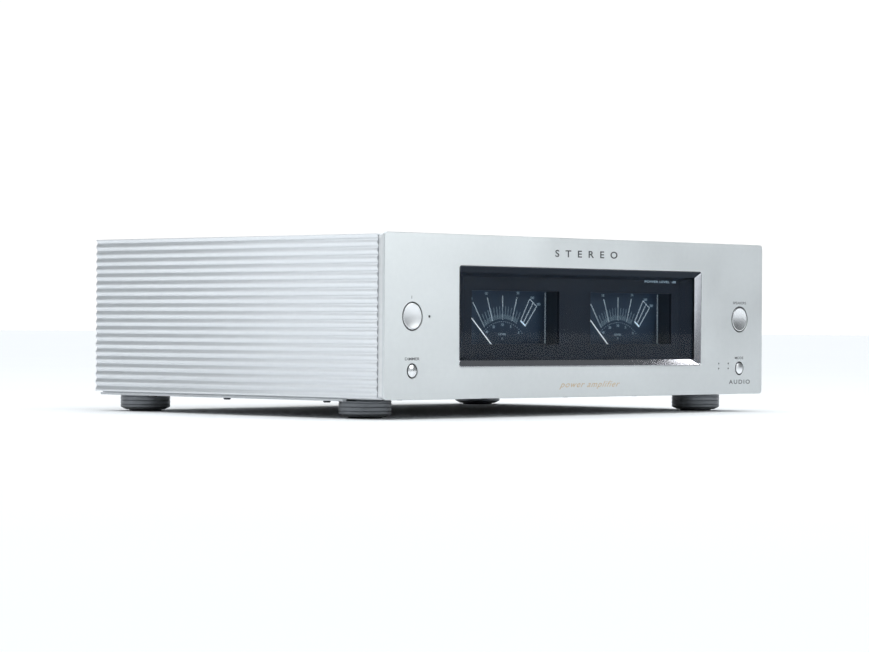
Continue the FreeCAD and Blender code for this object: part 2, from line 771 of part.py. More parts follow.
def make_tray():
    y_span = (side_front, rear_inner - fit_gap)
    floor = block((-tray_half, tray_half), y_span, (tray_z, tray_top_z))
    shapes = [floor]
    for side in (-1, 1):
        wall_x = sorted((side * tray_half, side * (tray_half - tray_thick)))
        shapes.append(block(wall_x, y_span, (tray_z, tray_top_z + tray_flange)))
    shapes.append(block((-tray_half, tray_half), (y_span[1] - tray_thick, y_span[1]),
                        (tray_z, tray_top_z + tray_flange)))
    for x, y in plate_screws:
        shapes.append(upright(screw_boss_radius, tray_z, tray_top_z + 4, x, y))
    cuts = sink_slots((tray_z - 1, tray_top_z + 1))
    for x, y in plate_screws:
        cuts.append(upright(screw_radius + fit_gap, tray_z - 1, tray_top_z + 5, x, y))
    for x in front_screw_places:
        cuts.append(upright(screw_radius + fit_gap, tray_z - 1, tray_top_z + 1, x, front_screw_depth))
    for y, z in wall_screws:
        cuts.append(Part.makeCylinder(screw_radius + fit_gap, 2 * half_width,
                                      Vec(-half_width, y, z), Vec(1, 0, 0)))
    for x, z in rear_tray_screws:
        cuts.append(rod(screw_radius + fit_gap, y_span[1] - 3, y_span[1] + 1, x, z))
    for x, y in foot_places.values():
        cuts.append(upright(foot_screw_radius + fit_gap, tray_z - 1, tray_top_z + 1, x, y))
    save("base_tray", join(shapes).cut(cuts))

    half = half_width - under_plate_inset
    plate = block((-half, half), (under_plate_front, rear_inner - fit_gap), (under_plate_z, tray_z))
    cuts = sink_slots((under_plate_z - 1, tray_z + 1))
    for x, y in foot_places.values():
        cuts.append(upright(foot_radius + 1.2, under_plate_z - 1, tray_z + 1, x, y))
    for x, y in plate_screws:
        cuts.append(upright(screw_radius + fit_gap, under_plate_z - 1, tray_z + 1, x, y))
    save("under_plate", plate.cut(cuts))


def make_feet():
    pads = []
    screws = []
    pad_top = foot_pad_height + foot_pad_seat
    for name, (x, y) in foot_places.items():
        low = foot_pad_height + foot_chamfer_height
        cone = Part.makeCone(foot_radius - foot_chamfer, foot_radius, foot_chamfer_height,
                             Vec(x, y, foot_pad_height), Vec(0, 0, 1))
        disc = upright(foot_radius, low, foot_top_z, x, y)
        boss = upright(foot_boss_radius, foot_top_z - 1, tray_z, x, y)
        cuts = [upright(foot_pad_radius + fit_gap, 0, pad_top, x, y),
                upright(foot_screw_radius + fit_gap, 0, tray_z + 1, x, y),
                upright(foot_screw_head_radius + fit_gap, 0, pad_top + foot_screw_head_height, x, y)]
        for height in foot_groove_heights:
            groove = upright(foot_radius + 1, height - foot_groove_size, height + foot_groove_size, x, y)
            keep = upright(foot_radius - foot_groove_size, height - 1, height + 1, x, y)
            cuts.append(groove.cut(keep))
        save(name, join([cone, disc, boss]).cut(cuts))
        pads.append(upright(foot_pad_radius, 0, pad_top, x, y))
        head = upright(foot_screw_head_radius, pad_top, pad_top + foot_screw_head_height, x, y)
        shank = upright(foot_screw_radius, pad_top + 1, tray_top_z + 2, x, y)
        screws.append(join([head, shank]))
    save("foot_pads", pads)
    save("foot_screws", screws)


def pan_screw(tip, outward, length):
    """Pan-head screw: tip is where the head meets the plate, outward points off the plate."""
    head = Part.makeCylinder(screw_head_radius, screw_head_height, tip, outward)
    inward = outward * -1
    shank = Part.makeCylinder(screw_radius, length, tip, inward)
    socket = Part.makeCylinder(screw_hex_radius, screw_head_height * 0.6,
                               tip + outward * (screw_head_height * 0.5), outward)
    return join([head, shank]).cut(socket)


def make_screws():
    flush = []
    for x, y in cover_screws:
        head = Part.makeCone(screw_radius, screw_head_radius, cover_thick - 0.4,
                             Vec(x, y, cover_z + 0.3), Vec(0, 0, 1))
        shank = upright(screw_radius, side_top_z - screw_length, cover_z + 0.5, x, y)
        socket = upright(screw_hex_radius, side_top_z - 1.2, side_top_z, x, y)
        flush.append(join([head, shank]).cut(socket))
    save("cover_screws", flush)

    chassis = []
    for x, y in plate_screws:
        chassis.append(pan_screw(Vec(x, y, under_plate_z), Vec(0, 0, -1), screw_length))
    for x in front_screw_places:
        chassis.append(pan_screw(Vec(x, front_screw_depth, tray_z), Vec(0, 0, -1), screw_length))
    for x, z in rear_ledge_screws + rear_tray_screws:
        chassis.append(pan_screw(Vec(x, rear_outer, z), Vec(0, 1, 0), screw_length))
    for side in (-1, 1):
        for y, z in wall_screws:
            inner = Vec(side * wall_screw_x, y, z)
            chassis.append(pan_screw(inner, Vec(-side, 0, 0), wall_screw_length))
    save("chassis_screws", chassis)


# ---------------------------------------------------------------- inside
def make_transformer():
    low = tray_top_z + toroid_lift
    body = upright(toroid_outer, low, low + toroid_height, 0, toroid_depth)
    body = body.cut(upright(toroid_inner, low - 1, low + toroid_height + 1, 0, toroid_depth))
    rims = [edge for edge in body.Edges
            if isinstance(edge.Curve, Part.Circle) and edge.Curve.Radius > toroid_inner + 1]
    save("transformer", body.makeFillet(toroid_round, rims))

    top = low + toroid_height
    disc = upright(clamp_radius, top, top + clamp_thick, 0, toroid_depth)
    bolt = upright(clamp_bolt_radius, tray_top_z, top + clamp_thick + 4, 0, toroid_depth)
    nut = upright(2 * clamp_bolt_radius, top + clamp_thick - 0.5, top + clamp_thick + 3, 0, toroid_depth)
    save("transformer_clamp", join([disc, bolt, nut]))


def make_sink(side):
    name = "left" if side < 0 else "right"
    low = tray_top_z + sink_lift
    z_span = (low, low + sink_height)
    y_span = (sink_front, sink_front + sink_length)
    face_x = sink_inner_x + sink_base
    shapes = [block((-face_x, -sink_inner_x), y_span, z_span)]
    count = int((sink_length - sink_fin_thick) / sink_fin_pitch) + 1
    for index in range(count):
        y = y_span[0] + index * sink_fin_pitch
        shapes.append(block((-sink_outer_x, -face_x + 0.5), (y, y + sink_fin_thick), z_span))
    for y in grown(y_span, -sink_foot_inset):
        shapes.append(block((-face_x, -sink_inner_x + sink_foot_reach),
                            (y - sink_foot_half, y + sink_foot_half), (tray_top_z, low + 1)))
    sink = join(shapes)

    middle_y_inside = (y_span[0] + y_span[1]) / 2
    thick, depth, height = board_thick, amp_board_depth, amp_board_height
    board_x = -sink_inner_x + transistor_size[0] + amp_board_gap
    board_low = low + amp_board_lift
    board = block((board_x, board_x + thick), (middle_y_inside - depth / 2, middle_y_inside + depth / 2),
                  (board_low, board_low + height))
    pieces = [board]
    for index in range(transistors_per_side):
        y = middle_y_inside - depth / 2 + (index + 0.5) * transistor_pitch
        for radius, tall, share in (amp_can, amp_coil):
            foot = Vec(board_x, y, board_low + height * share)
            pieces.append(Part.makeCylinder(radius, tall, foot, Vec(1, 0, 0)))
    for y in grown((middle_y_inside - depth / 2, middle_y_inside + depth / 2), -post_inset):
        for z in (board_low + post_inset, board_low + height - post_inset):
            pieces.append(Part.makeCylinder(standoff_radius, amp_board_gap + transistor_size[0],
                                            Vec(-sink_inner_x, y, z), Vec(1, 0, 0)))
    amp_board = join(pieces)

    transistors = []
    first = middle_y_inside - (transistors_per_side - 1) * transistor_pitch / 2
    for index in range(transistors_per_side):
        middle = (-sink_inner_x + transistor_size[0] / 2, first + index * transistor_pitch,
                  board_low + height / 2)
        transistors.append(middle_block(middle, transistor_size))
    if side > 0:
        sink = mirror_x(sink)
        amp_board = mirror_x(amp_board)
        transistors = [mirror_x(shape) for shape in transistors]
    save(name + "_heat_sink", sink)
    save(name + "_amplifier_board", amp_board)
    return transistors


def make_power_supply():
    thick = board_thick
    low = tray_top_z + standoff_height
    x_span = (-supply_half, supply_half)
    y_span = (supply_board_front, supply_board_front + supply_board_depth)
    pieces = [block(x_span, y_span, (low, low + thick))]
    for x in grown(x_span, -post_inset):
        for y in grown(y_span, -post_inset):
            pieces.append(upright(standoff_radius, tray_top_z, low + 0.5, x, y))
    save("power_supply_board", join(pieces))
    cans = []
    first = -(can_count - 1) * can_pitch / 2
    for index in range(can_count):
        base = low + thick
        can_x = first + index * can_pitch
        cans.append(upright(can_radius, base, base + can_height, can_x, sum(y_span) / 2))
    save("filter_capacitors", cans)


# ---------------------------------------------------------------- rear
def make_rear():
    half = side_inner_x - fit_gap
    panel = block((-half, half), (rear_inner, rear_outer), (tray_top_z + fit_gap, cover_z - fit_gap))
    through = (rear_inner - 1, rear_outer + 1)
    cuts = []
    for x in post_places:
        cuts.append(rod(post_stud_radius + 2 + fit_gap, through[0], through[1], x, post_z))
    for x in line_socket_places:
        cuts.append(rod(line_socket_radius + fit_gap, through[0], through[1], x, connector_z))
    for x in balanced_socket_places:
        cuts.append(rod(balanced_body_radius + fit_gap, through[0], through[1], x, connector_z))
    for x in trigger_socket_places:
        cuts.append(rod(trigger_collar_radius - 1 + fit_gap, through[0], through[1], x, connector_z))
    selector_wide = selector_slot[0] + 2 * selector_wall_x
    selector_tall = selector_slot[1] + 2 * selector_wall_z
    for x, z, width, height in (
        (inlet_x, inlet_z, inlet_body[0], inlet_body[1]),
        (selector_x, connector_z, selector_wide, selector_tall),
    ):
        x_span = grown((x - width / 2, x + width / 2), fit_gap)
        cuts.append(block(x_span, through, grown((z - height / 2, z + height / 2), fit_gap)))
    for x, z in rear_ledge_screws + rear_tray_screws:
        cuts.append(rod(screw_radius + fit_gap, through[0], through[1], x, z))
    save("rear_panel", panel.cut(cuts))


def make_posts():
    fixed = []
    for index, x in enumerate(post_places):
        base_end = rear_outer + post_base_height
        base = rod(post_base_radius, rear_outer, base_end, x, post_z)
        neck = rod(post_stud_radius + 2, rear_inner - 3, rear_outer + 1, x, post_z)
        nut = rod(post_base_radius - 1, rear_inner - 4, rear_inner, x, post_z)
        stud_end = rear_reach - post_cap_web
        stud = rod(post_stud_radius, rear_inner - 12, stud_end, x, post_z)
        bore = rod(banana_radius, stud_end - banana_depth, stud_end + 1, x, post_z)
        fixed.append(join([base, neck, nut, stud]).cut(bore))

        number = str(index + 1)
        bore_radius = post_stud_radius + shaft_gap
        ring_start = base_end + post_part_gap
        ring = rod(post_ring_radius, ring_start, ring_start + post_ring_thick, x, post_z)
        ring = ring.cut(rod(bore_radius, ring_start - 1, ring_start + post_ring_thick + 1, x, post_z))
        save("speaker_clamp_" + number, ring)

        cap = rod(post_cap_radius, post_cap_start, rear_reach, x, post_z)
        cuts = [rod(bore_radius, post_cap_start - 1, stud_end + post_part_gap, x, post_z),
                rod(banana_radius + 0.6, rear_reach - post_cap_web - 1, rear_reach + 1, x, post_z)]
        for flute in range(post_cap_flutes):
            angle = 2 * math.pi * flute / post_cap_flutes
            flute_x = x + math.cos(angle) * (post_cap_radius + post_flute_radius / 2)
            flute_z = post_z + math.sin(angle) * (post_cap_radius + post_flute_radius / 2)
            cuts.append(rod(post_flute_radius, post_cap_start + 2.5, rear_reach + 1, flute_x, flute_z))
        save("speaker_cap_" + number, cap.cut(cuts))
    save("speaker_posts", fixed)


def make_sockets():
    lines = []
    for x in line_socket_places:
        shell = rod(line_socket_radius, rear_inner - 8, rear_outer + line_socket_reach, x, connector_z)
        base = rod(line_socket_base, rear_outer, rear_outer + 2, x, connector_z)
        hole = rod(line_socket_hole, rear_outer - 1, rear_outer + line_socket_reach + 1, x, connector_z)
        lines.append(join([shell, base]).cut(hole))
    save("line_sockets", lines)

    balanced = []
    width, height, thick = balanced_flange
    for x in balanced_socket_places:
        flange = middle_block((x, rear_outer + thick / 2, connector_z), (width, thick, height))
        body = rod(balanced_body_radius, rear_inner - 14, rear_outer + thick, x, connector_z)
        mouth = rod(balanced_mouth_radius, rear_inner - 10, rear_outer + thick + 1, x, connector_z)
        insert = rod(balanced_insert_radius, rear_inner - 11, rear_outer + thick - 0.6, x, connector_z)
        shape = join([flange, body]).cut(mouth).fuse(insert)
        contacts = []
        for angle in (90, 210, 330):
            turn = math.radians(angle)
            contacts.append(rod(1.3, rear_inner - 8, rear_outer + thick + 1,
                                x + 4.2 * math.cos(turn), connector_z + 4.2 * math.sin(turn)))
        balanced.append(shape.cut(contacts).removeSplitter())
    save("balanced_sockets", balanced)

    triggers = []
    for x in trigger_socket_places:
        collar = rod(trigger_collar_radius, rear_outer, rear_outer + 2.4, x, connector_z)
        neck = rod(trigger_collar_radius - 1, rear_inner - 1, rear_outer + 1, x, connector_z)
        body = middle_block((x, rear_inner - 7, connector_z), (12, 12, 9))
        hole = rod(trigger_bore_radius, rear_inner - 9, rear_outer + 3, x, connector_z)
        triggers.append(join([collar, neck, body]).cut(hole))
    save("trigger_sockets", triggers)

    board_y = rear_inner - 14
    right = min(trigger_socket_places) - 10
    left = max(balanced_socket_places) + 16
    board = block((right, left), (board_y - board_thick, board_y), (connector_z - 20, connector_z + 20))
    chips = [board]
    for index in range(6):
        x = right + 20 + index * 28
        chips.append(middle_block((x, board_y - board_thick - 2, connector_z), (10, 5, 8)))
    save("input_board", join(chips))


def make_selector():
    width, height, thick = selector_plate
    slot_width_x, slot_height = selector_slot
    plate = middle_block((selector_x, rear_outer + thick / 2, connector_z), (width, thick, height))
    box_front = rear_inner - 7
    box = middle_block((selector_x, (box_front + rear_outer) / 2, connector_z),
                       (slot_width_x + 2 * selector_wall_x, rear_outer - box_front + 1,
                        slot_height + 2 * selector_wall_z))
    cavity = middle_block((selector_x, (box_front + 1 + rear_outer + 2) / 2, connector_z),
                          (slot_width_x, rear_outer + 2 - box_front - 1, slot_height))
    save("selector_switch", join([plate, box]).cut(cavity))
    knob_width, knob_height, knob_reach = selector_knob
    start = selector_x - selector_travel / 2
    knob = middle_block((start, (box_front + 2 + rear_outer + thick + knob_reach) / 2, connector_z),
                        (knob_width, rear_outer + thick + knob_reach - box_front - 2, knob_height))
    grooves = []
    for offset in (-1, 0, 1):
        grooves.append(middle_block((start + offset * 1.3, rear_outer + thick + knob_reach, connector_z),
                                    (0.5, 0.8, knob_height + 1)))
    save("selector_knob", knob.cut(grooves))


def make_inlet():
    flange_w, flange_h, flange_t = inlet_flange
    body_w, body_h, body_d = inlet_body
    cavity_w, cavity_h, cavity_d = inlet_cavity
    flange_end = rear_outer + flange_t
    flange = rounded_plate((inlet_x - flange_w / 2, inlet_x + flange_w / 2), (rear_outer, flange_end),
                           (inlet_z - flange_h / 2, inlet_z + flange_h / 2), 4.0)
    body = middle_block((inlet_x, flange_end - body_d / 2, inlet_z), (body_w, body_d, body_h))
    cavity_x = (inlet_x - cavity_w / 2, inlet_x + cavity_w / 2)
    cavity_z = (inlet_z - cavity_h / 2, inlet_z + cavity_h / 2)
    cavity = rounded_plate(cavity_x, (flange_end - cavity_d, flange_end + 1), cavity_z, 2.5)
    housing = join([flange, body]).cut(cavity)
    pins = []
    pin_w, pin_l, pin_h = inlet_pin
    for step in (-1, 0, 1):
        x = inlet_x + step * inlet_pin_spacing
        z = inlet_z + (inlet_pin_offset / 2 if step == 0 else -inlet_pin_offset / 2)
        pin_start = flange_end - cavity_d
        pins.append(block((x - pin_w / 2, x + pin_w / 2), (pin_start, pin_start + pin_l),
                          (z - pin_h / 2, z + pin_h / 2)))
    save("power_inlet", [housing] + pins)


make_front_panel()
make_front_frame()
make_window()
make_meter(-1)
make_meter(1)
make_buttons()
make_sides()
make_cover()
make_tray()
make_feet()
make_screws()
make_transformer()
save("output_transistors", make_sink(-1) + make_sink(1))
make_power_supply()
make_rear()
make_posts()
make_sockets()
make_selector()
make_inlet()
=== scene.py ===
import json
import math
import bmesh
import bpy
from mathutils import Matrix, Vector


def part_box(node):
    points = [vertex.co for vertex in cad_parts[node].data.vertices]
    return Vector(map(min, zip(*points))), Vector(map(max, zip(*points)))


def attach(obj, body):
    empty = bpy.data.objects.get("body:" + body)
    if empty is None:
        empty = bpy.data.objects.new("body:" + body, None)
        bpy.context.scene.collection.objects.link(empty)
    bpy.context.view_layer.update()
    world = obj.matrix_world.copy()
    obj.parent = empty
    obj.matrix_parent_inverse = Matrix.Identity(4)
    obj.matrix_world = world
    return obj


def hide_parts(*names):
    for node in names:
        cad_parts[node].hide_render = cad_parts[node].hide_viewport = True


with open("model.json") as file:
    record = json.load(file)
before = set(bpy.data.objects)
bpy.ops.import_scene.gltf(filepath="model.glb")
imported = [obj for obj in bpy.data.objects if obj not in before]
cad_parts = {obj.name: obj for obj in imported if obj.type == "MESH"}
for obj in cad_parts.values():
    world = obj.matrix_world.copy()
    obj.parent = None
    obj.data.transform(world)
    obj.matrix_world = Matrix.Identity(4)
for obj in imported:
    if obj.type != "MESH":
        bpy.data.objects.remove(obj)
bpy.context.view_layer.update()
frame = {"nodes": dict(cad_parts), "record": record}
mm = 0.001

panelLow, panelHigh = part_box("front_panel")
sideLow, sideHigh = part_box("left_side_panel")
glassLow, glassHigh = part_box("window_glass")
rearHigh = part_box("rear_panel")[1]
frontY = panelLow[1]


def boxMiddle(node):
    low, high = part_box(node)
    return Vector([(low[i] + high[i]) / 2 for i in range(3)])


# camera: a long lens, level with the middle of the casing, looking at its left front corner
cameraSpec = {
    "lens": 129.3,
    "place": (-1.7920, frontY - 1.5638, 0.0661),
    "turn": 46.12,
    "tilt": 0.031,
    "roll": 0.331,
}


def makeCamera(spec):
    turn = math.radians(spec["turn"])
    tilt = math.radians(spec["tilt"])
    roll = math.radians(spec["roll"])
    ahead = Vector((math.sin(turn) * math.cos(tilt), math.cos(turn) * math.cos(tilt), math.sin(tilt)))
    right = ahead.cross(Vector((0, 0, 1))).normalized()
    up = right.cross(ahead)
    rolledRight = math.cos(roll) * right + math.sin(roll) * up
    rolledUp = math.cos(roll) * up - math.sin(roll) * right
    data = bpy.data.cameras.new("camera")
    data.lens = spec["lens"]
    data.clip_start = 0.05
    data.clip_end = 60
    camera = bpy.data.objects.new("camera", data)
    bpy.context.collection.objects.link(camera)
    turned = Matrix((rolledRight, rolledUp, -ahead)).transposed().to_4x4()
    turned.translation = Vector(spec["place"])
    camera.matrix_world = turned
    bpy.context.scene.camera = camera


makeCamera(cameraSpec)
print("camera set")


# shader groups: each puts out masks, values or heights only
def newGroup(name, inputs, outputs):
    group = bpy.data.node_groups.new(name, "ShaderNodeTree")
    for label, kind, value in inputs:
        socket = group.interface.new_socket(name=label, in_out="INPUT", socket_type=kind)
        socket.default_value = value
    for label, kind in outputs:
        group.interface.new_socket(name=label, in_out="OUTPUT", socket_type=kind)
    start = group.nodes.new("NodeGroupInput")
    end = group.nodes.new("NodeGroupOutput")
    return group, start, end


def addNode(tree, kind, settings=None, links=None, values=None):
    node = tree.nodes.new(kind)
    for key, value in (settings or {}).items():
        setattr(node, key, value)
    for key, value in (values or {}).items():
        node.inputs[key].default_value = value
    for key, socket in (links or {}).items():
        tree.links.new(socket, node.inputs[key])
    return node


def mathNode(tree, operation, first, second=0.5, clamp=False):
    node = tree.nodes.new("ShaderNodeMath")
    node.operation = operation
    node.use_clamp = clamp
    for index, value in enumerate((first, second)):
        if isinstance(value, (int, float)):
            node.inputs[index].default_value = value
        else:
            tree.links.new(value, node.inputs[index])
    return node.outputs[0]


def makeBlastGroup():
    group, start, end = newGroup(
        "blastedGrain",
        [("Vector", "NodeSocketVector", (0, 0, 0)), ("Grain Size", "NodeSocketFloat", 0.0004),
         ("Cloud Size", "NodeSocketFloat", 0.06)],
        [("Height", "NodeSocketFloat"), ("Tone", "NodeSocketFloat"), ("Roughness Shift", "NodeSocketFloat")])
    grainScale = mathNode(group, "DIVIDE", 1.0, start.outputs["Grain Size"])
    cloudScale = mathNode(group, "DIVIDE", 1.0, start.outputs["Cloud Size"])
    grain = addNode(group, "ShaderNodeTexNoise", links={"Vector": start.outputs["Vector"], "Scale": grainScale},
                    values={"Detail": 3.0, "Roughness": 0.65})
    cloud = addNode(group, "ShaderNodeTexNoise", links={"Vector": start.outputs["Vector"], "Scale": cloudScale},
                    values={"Detail": 4.0, "Roughness": 0.5})
    pits = addNode(group, "ShaderNodeTexVoronoi",
                   links={"Vector": start.outputs["Vector"], "Scale": grainScale})
    rough = mathNode(group, "MULTIPLY", pits.outputs["Distance"], 0.6)
    height = mathNode(group, "ADD", grain.outputs["Fac"], rough)
    tone = mathNode(group, "SUBTRACT", cloud.outputs["Fac"], 0.5)
    shift = mathNode(group, "MULTIPLY", tone, 0.35)
    group.links.new(height, end.inputs["Height"])
    group.links.new(tone, end.inputs["Tone"])
    group.links.new(shift, end.inputs["Roughness Shift"])
    return group


def makeBrushGroup():
    group, start, end = newGroup(
        "brushedGrain",
        [("Vector", "NodeSocketVector", (0, 0, 0)), ("Line Size", "NodeSocketFloat", 0.0003),
         ("Stretch", "NodeSocketVector", (0.01, 1.0, 1.0))],
        [("Height", "NodeSocketFloat"), ("Tone", "NodeSocketFloat")])
    scale = mathNode(group, "DIVIDE", 1.0, start.outputs["Line Size"])
    stretched = addNode(group, "ShaderNodeVectorMath", {"operation": "MULTIPLY"},
                        links={0: start.outputs["Vector"], 1: start.outputs["Stretch"]})
    lines = addNode(group, "ShaderNodeTexNoise", links={"Vector": stretched.outputs[0], "Scale": scale},
                    values={"Detail": 4.0, "Roughness": 0.7})
    tone = mathNode(group, "SUBTRACT", lines.outputs["Fac"], 0.5)
    group.links.new(lines.outputs["Fac"], end.inputs["Height"])
    group.links.new(tone, end.inputs["Tone"])
    return group


def makeTurnedGroup():
    group, start, end = newGroup(
        "turnedRings",
        [("Vector", "NodeSocketVector", (0, 0, 0)), ("Ring Size", "NodeSocketFloat", 0.0004)],
        [("Height", "NodeSocketFloat"), ("Tone", "NodeSocketFloat")])
    parts = addNode(group, "ShaderNodeSeparateXYZ", links={"Vector": start.outputs["Vector"]})
    squares = mathNode(group, "ADD", mathNode(group, "MULTIPLY", parts.outputs["X"], parts.outputs["X"]),
                       mathNode(group, "MULTIPLY", parts.outputs["Y"], parts.outputs["Y"]))
    radius = mathNode(group, "SQRT", squares, 0.0)
    ringed = addNode(group, "ShaderNodeCombineXYZ", links={"X": radius, "Z": parts.outputs["Z"]})
    scale = mathNode(group, "DIVIDE", 1.0, start.outputs["Ring Size"])
    noise = addNode(group, "ShaderNodeTexNoise", links={"Vector": ringed.outputs[0], "Scale": scale},
                    values={"Detail": 2.0, "Roughness": 0.6})
    tone = mathNode(group, "SUBTRACT", noise.outputs["Fac"], 0.5)
    group.links.new(noise.outputs["Fac"], end.inputs["Height"])
    group.links.new(tone, end.inputs["Tone"])
    return group


def makeWearGroup():
    group, start, end = newGroup(
        "edgeWear",
        [("Vector", "NodeSocketVector", (0, 0, 0)), ("Sharpness", "NodeSocketFloat", 12.0),
         ("Patch Size", "NodeSocketFloat", 0.004)],
        [("Mask", "NodeSocketFloat")])
    shape = addNode(group, "ShaderNodeNewGeometry")
    raised = mathNode(group, "SUBTRACT", shape.outputs["Pointiness"], 0.5)
    edge = mathNode(group, "MULTIPLY", raised, start.outputs["Sharpness"], True)
    scale = mathNode(group, "DIVIDE", 1.0, start.outputs["Patch Size"])
    patch = addNode(group, "ShaderNodeTexNoise", links={"Vector": start.outputs["Vector"], "Scale": scale},
                    values={"Detail": 3.0})
    broken = mathNode(group, "MULTIPLY", edge, mathNode(group, "MULTIPLY", patch.outputs["Fac"], 1.6), True)
    group.links.new(broken, end.inputs["Mask"])
    return group


def makeDustGroup():
    group, start, end = newGroup(
        "lightDust",
        [("Vector", "NodeSocketVector", (0, 0, 0)), ("Speck Size", "NodeSocketFloat", 0.002),
         ("Smear Size", "NodeSocketFloat", 0.05)],
        [("Mask", "NodeSocketFloat")])
    shape = addNode(group, "ShaderNodeNewGeometry")
    facing = addNode(group, "ShaderNodeSeparateXYZ", links={"Vector": shape.outputs["Normal"]})
    upward = mathNode(group, "MAXIMUM", facing.outputs["Z"], 0.12)
    speckScale = mathNode(group, "DIVIDE", 1.0, start.outputs["Speck Size"])
    smearScale = mathNode(group, "DIVIDE", 1.0, start.outputs["Smear Size"])
    speck = addNode(group, "ShaderNodeTexNoise", links={"Vector": start.outputs["Vector"], "Scale": speckScale},
                    values={"Detail": 5.0, "Roughness": 0.8})
    smear = addNode(group, "ShaderNodeTexNoise", links={"Vector": start.outputs["Vector"], "Scale": smearScale},
                    values={"Detail": 3.0})
    sparse = mathNode(group, "POWER", speck.outputs["Fac"], 2.0)
    both = mathNode(group, "MULTIPLY", sparse, smear.outputs["Fac"])
    mask = mathNode(group, "MULTIPLY", both, upward, True)
    group.links.new(mask, end.inputs["Mask"])
    return group


blastGroup = makeBlastGroup()
brushGroup = makeBrushGroup()
turnedGroup = makeTurnedGroup()
wearGroup = makeWearGroup()
dustGroup = makeDustGroup()

